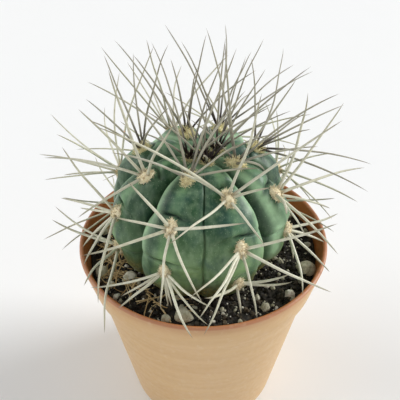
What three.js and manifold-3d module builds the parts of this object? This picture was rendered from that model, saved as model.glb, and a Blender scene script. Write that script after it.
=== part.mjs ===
// A chin cactus in its plastic nursery pot. Millimetres, +Z up, the pot's foot on Z = 0.
// The viewer's side is -Y. Angles round the plant start there and grow towards +X.
import * as THREE from "three";
import { mergeVertices } from "three/addons/utils/BufferGeometryUtils.js";
import Module from "manifold-3d";

const wasm = await Module();
wasm.setup();

// Driving dimensions.
const CLEARANCE = 0.3;
const TURN = 2 * Math.PI;

const pot = {
  height: 56,
  rimRadius: 32.5,
  bandHeight: 10,
  bandFootRadius: 30.5,
  shoulderRadius: 29.2,
  shoulderDrop: 1.2,
  footRadius: 22.2,
  footChamfer: 0.8,
  wall: 1.1,
  floor: 1.6,
  lipRadius: 0.6,
  drainHoles: 6,
  drainRadius: 2.1,
  drainCircle: 13.5,
  sides: 60,
};
pot.shoulder = pot.height - pot.bandHeight;

const soil = {
  top: pot.height - 5,
  sides: 40,
  rings: 7,
  swell: 0.5,
  holeSlack: 0.3,
  holeSides: 24,
  spineRoom: 1.3,
  seed: 11,
};

// The largest chips of perlite and pumice on the soil: x, y and half width.
const chips = [
  [26.1, -9.7, 2.2],
  [19.9, -6.6, 1.1],
  [28.2, 4.3, 1.3],
  [14.9, -22.0, 1.2],
  [20.7, -18.8, 1.6],
  [24.4, -13.6, 0.9],
  [-28.1, 4.9, 1.5],
  [-26.0, -10.6, 1.7],
  [-20.8, -19.3, 1.2],
  [-18.6, -12.4, 1.4],
  [-23.0, -15.2, 1.0],
  [-8.8, -25.6, 1.1],
  [-4.4, -24.9, 1.9],
  [-12.2, 25.3, 1.6],
  [4.0, 27.0, 1.2],
  [17.5, 21.0, 1.8],
  [24.5, 11.5, 1.3],
  [-23.6, 14.6, 1.6],
];

// The stem is a flattened ball that leans towards the viewer, cut into broad ribs.
const stem = {
  ribs: 8,
  radius: 22.1,
  domeHeight: 17.2,
  bowlHeight: 19.8,
  centre: [-0.8, -1.6, pot.height + 10.5],
  leanForward: 7.3,
  leanRight: 2.1,
  firstRib: -20,
  basePower: 0.5,
  shoulderPower: [5, 5, 2.2, 3, 4, 4, 4, 3],
  furrowDepth: [0.06, 0.17, 0.17, 0.15, 0.15, 0.15, 0.15, 0.16],
  furrowWander: [0.25, 0.3, 0.9, 0.9, 0.9, 0.9, 0.9, 0.6],
  furrowLag: 0.3,
  crownDip: 2.2,
  crownDipRadius: 5.5,
  crownFade: [4, 32],
  footFade: [105, 140],
  footShallow: 0.6,
  chin: 1.0,
  crease: 0.9,
  creaseAt: 0.72,
  creaseWidth: 0.06,
  columnsPerRib: 8,
  rows: 40,
  lastPolar: 146,
  rootRadius: 5,
  rootTop: -20,
  rootTip: -29,
};

// Areoles sit one spacing apart down each rib. Near the crown they crowd together.
const areole = {
  firstPlace: [0.94, 0.37, 0.89, 0.45, 0.28, 0.95, 1.55, 0.4],
  youngest: 0.3,
  spacing: 36.1,
  crowding: 13.7,
  crowdingFade: 1.6,
  lowest: 120,
  padHalf: [1.6, 2.3, 1.3],
  padRows: 4,
  padSides: 6,
  youngPad: 0.58,
  crownPad: 0.4,
};

const spine = {
  radius: 0.42,
  steps: [0, 0.35, 0.7, 1],
  thinning: [1, 0.86, 0.6],
  rootHeight: 0.5,
  rootSpread: 0.6,
  bow: 0.06,
  arch: 0.035,
  sway: 0.03,
  checks: [0.25, 0.5, 0.75, 1],
  potRoom: 0.9,
  seed: 5,
};

// Each spine is [clock angle from straight up the rib, lift off the skin, length].
const youngFan = [
  [-22, 62, 25],
  [24, 58, 27],
  [-66, 52, 28],
  [64, 50, 27],
  [-112, 44, 25],
  [110, 46, 26],
  [178, 40, 20],
];
const oldFan = [
  [-48, 40, 16],
  [50, 38, 17],
  [-84, 28, 22],
  [86, 28, 22],
  [-122, 24, 22],
  [120, 24, 22],
  [-160, 26, 17],
  [162, 26, 18],
];
// Sprays on the viewer's side and round the crown have fans of their own, by rib and step.
const ownFans = {
  "0.0": [
    [86, 30, 17], [-76, 51, 21], [-48, 59, 20], [35, 53, 23], [71, 49, 15], [-117, 36, 18],
    [19, 60, 30],
  ],
  "0.1": [
    [-122, 30, 19], [164, 30, 17], [131, 30, 18], [-90, 30, 12], [-39, 51, 17], [67, 30, 20],
  ],
  "0.2": [
    [-104, 30, 17], [-126, 50, 13], [-128, 30, 12], [161, 30, 8], [154, 30, 8], [111, 46, 16],
    [107, 30, 15], [77, 30, 15],
  ],
  "1.0": [
    [101, 46, 31], [-101, 49, 25], [140, 41, 19], [-152, 42, 19],
  ],
  "1.1": [
    [-60, 30, 18], [99, 30, 9], [-59, 34, 35], [31, 50, 25], [77, 34, 29], [-116, 24, 20],
    [172, 24, 13],
  ],
  "1.2": [
    [76, 30, 21], [126, 30, 22], [-175, 30, 15], [-126, 30, 20], [-91, 34, 19], [-111, 34, 19],
  ],
  "1.3": [
    [-152, 66, 7], [68, 30, 12], [62, 22, 12], [-47, 18, 17],
  ],
  "2.0": [
    [33, 50, 31], [54, 51, 27], [115, 48, 23], [147, 45, 27], [24, 14, 15], [-116, 42, 25],
    [176, 36, 19],
  ],
  "2.1": [
    [157, 30, 14], [-155, 30, 19], [-130, 30, 12], [50, 35, 24], [76, 41, 27], [124, 33, 26],
    [-75, 35, 18],
  ],
  "2.2": [
    [92, 50, 15], [142, 55, 12], [-103, 30, 17], [-160, 26, 8], [-174, 45, 15],
  ],
  "3.0": [
    [126, 55, 26], [151, 47, 28], [87, 34, 19], [103, 18, 7], [-169, 26, 19], [174, 55, 22],
    [142, 46, 23],
  ],
  "3.1": [
    [109, 50, 29], [161, 45, 18], [-166, 19, 34], [172, 43, 28], [-123, 20, 28], [72, 50, 22],
    [-66, 43, 23],
  ],
  "4.1": [
    [114, 44, 33], [154, 56, 31], [-144, 43, 28], [-168, 66, 22], [-129, 38, 30], [49, 53, 24],
    [-172, 26, 20],
  ],
  "5.0": [
    [-106, 62, 24], [-179, 64, 18], [118, 63, 23], [-80, 42, 22], [56, 60, 15], [-142, 46, 17],
  ],
  "5.1": [
    [39, 38, 31], [16, 32, 31], [-119, 60, 23], [113, 77, 23], [-169, 52, 22], [-87, 40, 28],
    [90, 48, 25],
  ],
  "6.0": [
    [-176, 75, 18], [-63, 59, 23], [-99, 66, 25], [-57, 40, 26], [66, 49, 22], [20, 27, 23],
  ],
  "6.1": [
    [-106, 70, 30], [-179, 72, 26], [-51, 31, 27], [-31, 10, 32], [128, 63, 15], [-93, 40, 26],
    [39, 27, 26], [81, 43, 20],
  ],
  "7.0": [
    [-48, 41, 28], [-127, 49, 31], [-126, 66, 28], [64, 55, 26], [-171, 38, 14],
  ],
  "7.1": [
    [-135, 21, 26], [175, 16, 17], [-64, 47, 25], [34, 46, 20], [-101, 33, 23],
  ],
  "7.2": [
    [-179, 30, 12], [157, 30, 14], [107, 26, 23], [-124, 30, 11], [-119, 26, 19], [-74, 30, 21],
  ],
};
const crownFan = [
  [10, 80, 13],
  [95, 74, 17],
  [180, 78, 12],
  [-85, 74, 16],
  [50, 66, 9],
  [-130, 68, 10],
];

const colours = {
  pot: 0xc9a47a,
  soil: 0x2b2622,
  stem: 0x57806c,
  spine: 0xcfc3a8,
};

const radians = THREE.MathUtils.degToRad;
const smoothstep = THREE.MathUtils.smoothstep;
const between = THREE.MathUtils.lerp;

// The same numbers come out each time for the same seed.
function randomFrom(seed) {
  let state = seed;
  return () => {
    state = (Math.imul(state, 1664525) + 1013904223) >>> 0;
    return state / 4294967296;
  };
}

// The plant's own frame: its centre is the middle of the stem, its Z axis the stem's axis.
const plant = new THREE.Group();
plant.position.set(...stem.centre);
plant.rotation.set(radians(stem.leanForward), radians(stem.leanRight), 0, "YXZ");
plant.updateMatrixWorld(true);

// A closed surface from rows of points round an axis, with one point at each end.
function closedSurface(rows, columns, pointAt, firstPole, lastPole) {
  const positions = [];
  const indices = [];
  const ring = (row, column) => 1 + row * columns + (column % columns);
  positions.push(...firstPole);
  for (let row = 0; row < rows; row += 1) {
    for (let column = 0; column < columns; column += 1) {
      positions.push(...pointAt(row, column));
    }
  }
  positions.push(...lastPole);
  const end = 1 + rows * columns;
  for (let column = 0; column < columns; column += 1) {
    indices.push(0, ring(0, column), ring(0, column + 1));
    indices.push(end, ring(rows - 1, column + 1), ring(rows - 1, column));
    for (let row = 0; row < rows - 1; row += 1) {
      const [a, b] = [ring(row, column), ring(row, column + 1)];
      const [c, d] = [ring(row + 1, column), ring(row + 1, column + 1)];
      indices.push(a, c, d, a, d, b);
    }
  }
  const geometry = new THREE.BufferGeometry();
  geometry.setAttribute("position", new THREE.Float32BufferAttribute(positions, 3));
  geometry.setIndex(indices);
  return geometry;
}

function solidFrom(geometry) {
  const bare = geometry.clone();
  bare.deleteAttribute("normal");
  bare.deleteAttribute("uv");
  const merged = mergeVertices(bare, 1e-4);
  return new wasm.Manifold(
    new wasm.Mesh({
      numProp: 3,
      vertProperties: new Float32Array(merged.attributes.position.array),
      triVerts: new Uint32Array(merged.index.array),
    }),
  );
}

function meshFrom(solid, name, material) {
  const { vertProperties, triVerts } = solid.getMesh();
  const geometry = new THREE.BufferGeometry();
  geometry.setAttribute("position", new THREE.BufferAttribute(vertProperties, 3));
  geometry.setIndex(new THREE.BufferAttribute(triVerts, 1));
  geometry.computeVertexNormals();
  const mesh = new THREE.Mesh(geometry, material);
  mesh.name = name;
  return mesh;
}

function matte(color, roughness) {
  return new THREE.MeshStandardMaterial({ color, roughness, metalness: 0 });
}

// The pot: a tapered wall under a wider band at the rim.
function outerRadius(z) {
  const { height, shoulder, rimRadius, bandFootRadius, shoulderRadius, footRadius } = pot;
  if (z > height) return rimRadius;
  if (z > shoulder) return between(bandFootRadius, rimRadius, (z - shoulder) / pot.bandHeight);
  return between(footRadius, shoulderRadius, z / shoulder);
}

const innerRadius = (z) => outerRadius(z) - pot.wall;

function makePot() {
  const { height, shoulder, rimRadius, lipRadius, shoulderDrop } = pot;
  const lipCentre = rimRadius - lipRadius;
  const outline = [
    [0, 0],
    [pot.footRadius - pot.footChamfer, 0],
    [pot.footRadius, pot.footChamfer],
    [pot.shoulderRadius, shoulder - shoulderDrop / 2],
    [pot.bandFootRadius, shoulder],
  ];
  for (let step = 0; step <= 4; step += 1) {
    const angle = (step / 4) * Math.PI;
    outline.push([
      lipCentre + lipRadius * Math.cos(angle),
      height - lipRadius + lipRadius * Math.sin(angle),
    ]);
  }
  outline.push([pot.bandFootRadius - pot.wall, shoulder]);
  outline.push([innerRadius(shoulder - shoulderDrop), shoulder - shoulderDrop]);
  outline.push([innerRadius(pot.floor), pot.floor], [0, pot.floor]);
  const points = outline.map(([r, z]) => new THREE.Vector2(r, z));
  let body = solidFrom(new THREE.LatheGeometry(points, pot.sides).rotateX(Math.PI / 2));
  for (let hole = 0; hole < pot.drainHoles; hole += 1) {
    const angle = (hole / pot.drainHoles) * TURN;
    const cutter = new THREE.CylinderGeometry(pot.drainRadius, pot.drainRadius, 6, 12);
    cutter.rotateX(Math.PI / 2);
    cutter.translate(pot.drainCircle * Math.cos(angle), pot.drainCircle * Math.sin(angle), 0);
    body = body.subtract(solidFrom(cutter));
  }
  return meshFrom(body, "pot", matte(colours.pot, 0.5));
}

// The stem's skin. Along a rib, 0 is the crown and each areole is one step further down.
function polarAt(along) {
  const crowded = areole.crowding * (1 - Math.exp(-areole.crowdingFade * along));
  return radians(areole.spacing * along - crowded);
}

function alongAt(polar) {
  const target = (polar * 180) / Math.PI;
  let along = (target + areole.crowding) / areole.spacing;
  for (let pass = 0; pass < 8; pass += 1) {
    const faded = areole.crowding * Math.exp(-areole.crowdingFade * along);
    const reached = areole.spacing * along - areole.crowding + faded;
    along -= (reached - target) / (areole.spacing - areole.crowdingFade * faded);
  }
  return along;
}

const ribAzimuth = (rib) => radians(stem.firstRib + (360 / stem.ribs) * rib);
const wrapRib = (rib) => (rib + stem.ribs) % stem.ribs;

// The furrow after a rib swings from side to side between the tubercles.
function furrowSwing(rib, along) {
  const [here, next] = [areole.firstPlace[rib], areole.firstPlace[wrapRib(rib + 1)]];
  const wave = (place) => Math.cos(TURN * (along - place - stem.furrowLag));
  return radians(stem.furrowWander[rib]) * (wave(here) - wave(next));
}

// across runs from -1 in one furrow of the rib to 1 in the other.
function azimuthOn(rib, across, along) {
  const half = Math.PI / stem.ribs;
  const swing =
    across > 0 ? furrowSwing(rib, along) : -furrowSwing(wrapRib(rib - 1), along);
  return ribAzimuth(rib) + across * (half + swing);
}

// Height of the tubercle: a chin that swells below each areole and ends at a crease.
function tubercle(rib, across, along) {
  const place = along - areole.firstPlace[rib];
  const place01 = place - Math.floor(place);
  const side = Math.abs(across);
  const crease = stem.creaseAt + 0.12 * side;
  const below = Math.min(place01 / crease, 1);
  const swell = Math.pow(below, 1.2) * (1 - Math.pow(below, 5)) * 1.6;
  const nick = Math.exp(-Math.pow((place01 - crease) / stem.creaseWidth, 2));
  const chin = stem.chin * swell * (1 - Math.pow(side, 2.5));
  return chin - stem.crease * nick * (1 - side * side);
}

// A low dome above the stem's waist and a deeper bowl below it.
const halfHeight = (upwards) => (upwards > 0 ? stem.domeHeight : stem.bowlHeight);

function skin(rib, across, polar, lift = 0) {
  const along = alongAt(polar);
  const azimuth = azimuthOn(rib, across, along);
  const crownFade = smoothstep(polar, ...stem.crownFade.map(radians));
  const footFade = 1 - stem.footShallow * smoothstep(polar, ...stem.footFade.map(radians));
  const fade = crownFade * footFade;
  const depth = stem.furrowDepth[across > 0 ? rib : wrapRib(rib - 1)];
  const share = 1 - depth * Math.pow(Math.abs(across), stem.shoulderPower[rib]) * fade;
  const [sine, cosine] = [Math.sin(polar), Math.cos(polar)];
  const outwards = new THREE.Vector3(Math.sin(azimuth), -Math.cos(azimuth), 0);
  const girth = cosine > 0 ? sine : Math.pow(sine, stem.basePower);
  const radius = stem.radius * share * girth;
  const point = outwards.clone().multiplyScalar(radius);
  point.z = halfHeight(cosine) * share * cosine;
  const normal = outwards.multiplyScalar(sine / stem.radius);
  normal.z = cosine / halfHeight(cosine);
  normal.normalize();
  point.addScaledVector(normal, tubercle(rib, across, along) * fade + lift);
  if (polar < Math.PI / 2) {
    point.z -= stem.crownDip * Math.exp(-Math.pow((stem.radius * sine) / stem.crownDipRadius, 2));
  }
  return point;
}

// The root neck closes the stem under the soil.
function stemSurface(lift) {
  const columns = stem.ribs * stem.columnsPerRib;
  const rootRings = [
    [stem.rootRadius + lift, stem.rootTop],
    [(stem.rootRadius + lift) * 0.7, (stem.rootTop + stem.rootTip) / 2 - lift],
  ];
  const pointAt = (row, column) => {
    const rib = Math.floor(column / stem.columnsPerRib);
    const step = (column % stem.columnsPerRib) / stem.columnsPerRib;
    const across = Math.sin((step * 2 - 1) * (Math.PI / 2));
    if (row < stem.rows) {
      const polar = radians((stem.lastPolar * (row + 1)) / stem.rows);
      return skin(rib, across, polar, lift).toArray();
    }
    const azimuth = azimuthOn(rib, across, alongAt(radians(stem.lastPolar)));
    const [radius, z] = rootRings[row - stem.rows];
    return [radius * Math.sin(azimuth), -radius * Math.cos(azimuth), z];
  };
  const top = [0, 0, stem.domeHeight - stem.crownDip + lift];
  const tip = [0, 0, stem.rootTip - lift];
  return closedSurface(stem.rows + rootRings.length, columns, pointAt, top, tip);
}

function makeStem() {
  return meshFrom(solidFrom(stemSurface(0)), "stem", matte(colours.stem, 0.55));
}

// The soil: a plug that fills the pot, with chips sunk in its top and a hole for the stem.
function soilHeight(x, y) {
  const waves = Math.sin(0.31 * x + 1.2) + Math.sin(0.27 * y - 0.4) + Math.sin(0.22 * (x + y));
  return soil.top + (soil.swell / 3) * waves;
}

function soilPlug() {
  const { shoulder, shoulderDrop, floor } = pot;
  const sides = [shoulder + CLEARANCE, shoulder - shoulderDrop, floor + CLEARANCE];
  const topRadius = innerRadius(soil.top) - CLEARANCE;
  const pointAt = (row, column) => {
    const angle = (column / soil.sides) * TURN;
    const side = sides[row - soil.rings];
    const share = (row + 1) / soil.rings;
    const radius = side === undefined ? topRadius * share : innerRadius(side) - CLEARANCE;
    const [x, y] = [radius * Math.sin(angle), -radius * Math.cos(angle)];
    return [x, y, side ?? soilHeight(x, y)];
  };
  const bottom = [0, 0, floor + CLEARANCE];
  const top = [0, 0, soilHeight(0, 0)];
  return closedSurface(soil.rings + sides.length, soil.sides, pointAt, top, bottom);
}

const chipCentre = ([x, y, radius]) => new THREE.Vector3(x, y, soilHeight(x, y) + 0.25 * radius);

function makeSoil() {
  const random = randomFrom(soil.seed);
  let body = solidFrom(soilPlug());
  for (const place of chips) {
    const [spin, flat] = [TURN * random(), 0.6 + 0.3 * random()];
    const chip = new THREE.IcosahedronGeometry(place[2], 0);
    chip.rotateX(spin).rotateZ(spin * 2).scale(1, flat, flat).rotateZ(spin);
    chip.translate(...chipCentre(place));
    body = body.add(solidFrom(chip));
  }
  const hole = stemHole();
  return meshFrom(body.subtract(solidFrom(hole)), "soil", matte(colours.soil, 0.95));
}

// A plain round hole that clears the stem's underside and its root.
function stemHole() {
  const polars = [118, 124, 130, 136, 142, stem.lastPolar];
  const ribs = [...areole.firstPlace.keys()];
  const ring = (polar) => {
    const crests = ribs.map((rib) => skin(rib, 0, radians(polar), CLEARANCE));
    const radius = Math.max(...crests.map((point) => Math.hypot(point.x, point.y)));
    return [radius + soil.holeSlack, Math.min(...crests.map((point) => point.z))];
  };
  const outline = polars.map(ring);
  outline.unshift([0, outline[0][1]]);
  outline.push([stem.rootRadius + soil.holeSlack + CLEARANCE, stem.rootTop - soil.holeSlack]);
  outline.push([stem.rootRadius, stem.rootTip - CLEARANCE], [0, stem.rootTip - CLEARANCE]);
  const points = outline.reverse().map(([r, z]) => new THREE.Vector2(r, z));
  const hole = new THREE.LatheGeometry(points, soil.holeSides).rotateX(Math.PI / 2);
  return hole.applyMatrix4(plant.matrix);
}

// Areoles, each with a frame of its own: up the rib, across it and out of the skin.
function areoleAt(rib, step) {
  const along = areole.firstPlace[rib] + step;
  const polar = polarAt(along);
  const centre = skin(rib, 0, polar);
  const ahead = skin(rib, 0, polar - 0.25);
  const behind = skin(rib, 0, polar + 0.25);
  const up = ahead.sub(behind).normalize();
  const azimuth = ribAzimuth(rib);
  const across = new THREE.Vector3(Math.cos(azimuth), Math.sin(azimuth), 0);
  const out = across.clone().cross(up);
  const name = `areole_${rib + 1}_${step + 1}`;
  const grown = smoothstep(along, 0.2, 1);
  const size = areole.youngPad + (1 - areole.youngPad) * grown;
  return { name, rib, step, along, size, centre, up, across, out };
}

function crownAreole() {
  return {
    name: "crown_tuft",
    rib: -1,
    step: 0,
    along: 0,
    size: areole.crownPad,
    centre: new THREE.Vector3(0, 0, stem.domeHeight - stem.crownDip),
    up: new THREE.Vector3(0, 1, 0),
    across: new THREE.Vector3(1, 0, 0),
    out: new THREE.Vector3(0, 0, 1),
  };
}

function allAreoles() {
  const found = [crownAreole()];
  for (let step = 0; step < 5; step += 1) {
    for (let rib = 0; rib < stem.ribs; rib += 1) {
      const along = areole.firstPlace[rib] + step;
      if (along < areole.youngest || polarAt(along) > radians(areole.lowest)) continue;
      found.push(areoleAt(rib, step));
    }
  }
  return found;
}

// The fan of an areole: its own, or a young or an old one with every spine a little off.
function fanOf(place, random) {
  if (place.rib < 0) return crownFan;
  const own = ownFans[`${place.rib}.${place.step}`];
  if (own) return own;
  const fan = place.along < 1.25 ? youngFan : oldFan;
  return fan.map(([clock, lift, length]) => [
    clock + 16 * (random() - 0.5),
    lift + 12 * (random() - 0.5),
    length * (0.86 + 0.28 * random()),
  ]);
}

// A spine bows back towards the skin, arches along its middle and sways to one side.
function spinePath(place, clock, lift, length, sway) {
  const [turn, pitch] = [radians(clock), radians(lift)];
  const flat = place.up.clone().multiplyScalar(Math.cos(turn));
  flat.addScaledVector(place.across, Math.sin(turn));
  const root = place.centre.clone().addScaledVector(place.out, spine.rootHeight);
  root.addScaledVector(flat, spine.rootSpread);
  const aside = place.out.clone().cross(flat);
  const direction = flat.multiplyScalar(Math.cos(pitch));
  direction.addScaledVector(place.out, Math.sin(pitch));
  return spine.steps.map((t) => {
    const middle = 4 * t * (1 - t);
    const rise = length * (spine.arch * middle - spine.bow * t * t);
    const point = root.clone().addScaledVector(direction, length * t);
    return point.addScaledVector(place.out, rise).addScaledVector(aside, length * sway * middle);
  });
}

// Closest distance between two straight stretches.
function gapBetween(a, b, c, d) {
  const [u, v, w] = [b.clone().sub(a), d.clone().sub(c), a.clone().sub(c)];
  const [uu, uv, vv, uw, vw] = [u.dot(u), u.dot(v), v.dot(v), u.dot(w), v.dot(w)];
  const clamp = (x) => Math.min(1, Math.max(0, x));
  const flat = uu * vv - uv * uv;
  let s = flat > 1e-9 ? clamp((uv * vw - vv * uw) / flat) : 0;
  const t = clamp((uv * s + vw) / vv);
  s = clamp((uv * t - uw) / uu);
  return w.addScaledVector(u, s).addScaledVector(v, -t).length();
}

function skinClearance(point) {
  const flat = Math.hypot(point.x, point.y) / stem.radius;
  const polar = Math.atan2(flat, point.z / halfHeight(point.z));
  const azimuth = Math.atan2(point.x, -point.y) - ribAzimuth(0) + Math.PI / stem.ribs;
  const turned = THREE.MathUtils.euclideanModulo(azimuth, TURN) / (TURN / stem.ribs);
  const rib = Math.floor(turned);
  return point.length() - skin(rib, (turned - rib) * 2 - 1, polar).length();
}

function clearOfPot(point) {
  const world = plant.localToWorld(point.clone());
  const { x, y, z } = world;
  const radius = Math.hypot(x, y);
  const chipRoom = spine.radius + CLEARANCE;
  if (chips.some((place) => chipCentre(place).distanceTo(world) < place[2] + chipRoom)) return false;
  if (radius < innerRadius(z) - spine.potRoom) return z > soil.top + soil.spineRoom;
  return z > pot.height + spine.potRoom || radius > outerRadius(z) + spine.potRoom;
}

// A spine may not touch the skin, the soil, the pot, or another areole's spines or pad.
function isClear(path, place, places, placed) {
  const room = 2 * spine.radius + CLEARANCE;
  const checked = path
    .slice(1)
    .flatMap((point, index) => spine.checks.map((t) => path[index].clone().lerp(point, t)));
  if (!checked.every((point) => skinClearance(point) > spine.radius + CLEARANCE)) return false;
  if (!checked.every(clearOfPot)) return false;
  const touches = (from, to, room) =>
    path.slice(1).some((point, index) => gapBetween(path[index], point, from, to) < room);
  for (const other of places) {
    if (other === place) continue;
    const top = other.centre.clone().addScaledVector(other.out, 0.1);
    const padRoom = areole.padHalf[1] * other.size + spine.radius + CLEARANCE;
    if (touches(other.centre, top, padRoom)) return false;
  }
  return placed.every(
    (other) =>
      other.place === place ||
      other.path.slice(1).every((point, index) => !touches(other.path[index], point, room)),
  );
}

// Turns and lifts to try, in degrees, until a spine stands clear.
const nudges = [[0, 0]];
for (const size of [5, 10, 15, 20, 26]) {
  nudges.push([size, 0], [-size, 0], [0, size], [size, size], [-size, size], [0, -size]);
}

function placeSpines(places) {
  const random = randomFrom(spine.seed);
  const placed = [];
  for (const place of places) {
    for (const [clock, lift, length] of fanOf(place, random)) {
      const sway = spine.sway * (2 * random() - 1);
      const tries = nudges.map(([turn, raise]) =>
        spinePath(place, clock + turn, lift + raise, length, sway),
      );
      const path = tries.find((candidate) => isClear(candidate, place, places, placed));
      if (path) placed.push({ place, path });
    }
  }
  return placed;
}

// A three-sided needle that thins towards its point.
function needle(path) {
  const direction = path[3].clone().sub(path[0]).normalize();
  const side = new THREE.Vector3(0.3, 0.5, 0.81).cross(direction).normalize();
  const other = direction.clone().cross(side);
  const pointAt = (row, column) => {
    const angle = (column / 3) * TURN;
    const radius = spine.radius * spine.thinning[row];
    const point = path[row].clone().addScaledVector(side, radius * Math.cos(angle));
    return point.addScaledVector(other, -radius * Math.sin(angle)).toArray();
  };
  const blunt = path[0].clone().addScaledVector(direction, -0.3).toArray();
  return closedSurface(3, 3, pointAt, blunt, path[3].toArray());
}

function padOf(place) {
  const { padHalf, padRows, padSides } = areole;
  const pad = new THREE.SphereGeometry(place.size, padSides, padRows).scale(...padHalf);
  const frame = new THREE.Matrix4().makeBasis(place.across, place.up, place.out);
  return pad.applyMatrix4(frame.setPosition(place.centre));
}

function makeAreoles() {
  const places = allAreoles();
  const spines = placeSpines(places);
  const keepOut = solidFrom(stemSurface(CLEARANCE));
  return places.map((place) => {
    let spray = solidFrom(padOf(place));
    for (const { path } of spines.filter((one) => one.place === place)) {
      spray = spray.add(solidFrom(needle(path)));
    }
    return meshFrom(spray.subtract(keepOut), place.name, matte(colours.spine, 0.6));
  });
}

plant.add(makeStem(), ...makeAreoles());

const cactus = new THREE.Group();
cactus.add(makePot(), makeSoil(), plant);

export default cactus;
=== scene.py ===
"""A chin cactus in its nursery pot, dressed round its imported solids.

The file is laid out as an add-on and run as a script. Layout is worked out in millimetres and degrees,
with +Z up and the viewer's side on -Y, and every mesh is written in metres.
"""

import math
from functools import partial
from types import SimpleNamespace

import bmesh
import bpy
import numpy as np
from bpy.props import FloatProperty, FloatVectorProperty, IntProperty, PointerProperty
from mathutils import Matrix, Vector, noise


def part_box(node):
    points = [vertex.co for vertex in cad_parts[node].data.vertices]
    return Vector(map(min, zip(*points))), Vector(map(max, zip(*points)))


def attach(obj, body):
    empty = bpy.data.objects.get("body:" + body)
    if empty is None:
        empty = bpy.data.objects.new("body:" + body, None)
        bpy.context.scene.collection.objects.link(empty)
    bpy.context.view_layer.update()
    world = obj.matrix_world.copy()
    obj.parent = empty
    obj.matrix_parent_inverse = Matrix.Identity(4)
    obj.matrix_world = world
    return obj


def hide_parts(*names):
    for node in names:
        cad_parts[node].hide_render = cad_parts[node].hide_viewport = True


bl_info = {
    "name": "Potted chin cactus",
    "version": (1, 0, 0),
    "blender": (4, 5, 0),
    "location": "3D View > Sidebar > Cactus",
    "description": "Makes the pot, the soil, the stem and the sprays of a chin cactus",
    "category": "Add Mesh",
}

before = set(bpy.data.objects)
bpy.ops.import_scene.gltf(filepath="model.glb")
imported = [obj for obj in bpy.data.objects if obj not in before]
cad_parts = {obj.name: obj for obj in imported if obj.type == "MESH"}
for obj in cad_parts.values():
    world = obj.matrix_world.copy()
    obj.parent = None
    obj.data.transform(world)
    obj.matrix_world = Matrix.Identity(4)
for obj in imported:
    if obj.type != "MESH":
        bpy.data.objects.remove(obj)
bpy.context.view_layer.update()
MM = 0.001
MERGE = 1e-4
TURN = 2 * math.pi


def box_mm(node):
    """Lowest and highest corner of a node of the frame, in millimetres."""
    return [np.round(np.array(corner) / MM, 2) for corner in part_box(node)]


# The plan of the solids. The fine pieces keep it.
CLEARANCE = 0.3
POT = SimpleNamespace(
    height=box_mm("pot")[1][2],
    rim_radius=box_mm("pot")[1][0],
    band_height=10,
    band_foot_radius=30.5,
    shoulder_radius=29.2,
    shoulder_drop=1.2,
    foot_radius=22.2,
    foot_chamfer=0.8,
    wall=1.1,
    floor=1.6,
    lip_radius=0.6,
    drain_holes=6,
    drain_radius=2.1,
    drain_circle=13.5,
)
POT.shoulder = POT.height - POT.band_height

SOIL = SimpleNamespace(
    top=POT.height - 5,
    swell=0.5,
    spine_room=1.3,
    seed=21,
    heap=(-16, -2),
    heap_spread=16,
)
STEM = SimpleNamespace(
    ribs=8,
    radius=22.1,
    dome_height=17.2,
    bowl_height=19.8,
    centre=np.array([-0.8, -1.6, POT.height + 10.5]),
    lean_forward=7.3,
    lean_right=2.1,
    first_rib=-20.0,
    base_power=0.5,
    shoulder_power=np.array([5, 5, 2.2, 3, 4, 4, 4, 3]),
    furrow_depth=np.array([0.06, 0.17, 0.17, 0.15, 0.15, 0.15, 0.15, 0.16]),
    furrow_wander=np.array([0.25, 0.3, 0.9, 0.9, 0.9, 0.9, 0.9, 0.6]),
    furrow_lag=0.3,
    crown_dip=2.2,
    crown_dip_radius=5.5,
    crown_fade=(4, 32),
    foot_fade=(105, 140),
    foot_shallow=0.6,
    chin=1.0,
    crease=0.9,
    crease_at=0.72,
    crease_bow=0.12,
    crease_width=0.06,
    last_polar=146,
    root_tip=-29,
)
# The finer skin. Widths across are shares of half a rib, and widths along are shares of a step from one
# areole to the next. The first table is, rib by rib, a painted highlight: a pale line along a shoulder as
# (place across the rib, half width, how much of it is left at the foot). The second is how much painted
# shade lies on the left and the right face of each rib.
SKIN = SimpleNamespace(
    share=0.95,
    furrow_width=0.03,
    slit_width=0.018,
    slit_reach=0.38,
    rim_at=0.74,
    rim_width=0.1,
    wrinkled=(108, 128),
    painted_highlight_line=np.array([
        (-0.74, 0.16, 0.35), (0.74, 0.17, 0.5), (-0.5, 0.19, 1.3), (0.75, 0.15, 0.5), (-0.7, 0.14, 0.5),
        (0.75, 0.15, 0.5), (-0.75, 0.14, 0.5), (-0.8, 0.2, 0.5),
    ]),
    painted_shade=np.array([
        (0.75, 0.2), (0.3, 0.35), (0.95, 0.3), (0.5, 0.4), (0.3, 0.6), (0.6, 0.3), (0.4, 0.5), (0.4, 0.55),
    ]),
)
AREOLE = SimpleNamespace(
    first_place=np.array([0.94, 0.37, 0.89, 0.45, 0.28, 0.95, 1.55, 0.4]),
    youngest=0.3,
    spacing=36.1,
    crowding=13.7,
    crowding_fade=1.6,
    lowest=120,
    pad_half=np.array([1.6, 2.3, 1.3]),
    young_pad=0.58,
    crown_pad=0.4,
    young_until=1.25,
    sprouting=0.6,
    front_ribs=(7, 0, 1, 2),
    # Areoles off the front ribs are drawn this much younger: their spines come out darker and thinner and
    # their wool yellower; the darker colour is painted shade for the sprays at the back.
    back_shade_as_youth=0.8,
)
SPINE = SimpleNamespace(
    radius=0.42,
    steps=np.array([0, 0.35, 0.7, 1]),
    root_height=0.5,
    root_spread=0.6,
    bow=0.06,
    arch=0.035,
    sway=0.03,
    checks=(0.25, 0.5, 0.75, 1),
    pot_room=0.9,
    clock_scatter=16,
    lift_scatter=12,
    shortest=0.86,
    length_scatter=0.28,
    seed=5,
    wool_seed=7,
)

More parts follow.
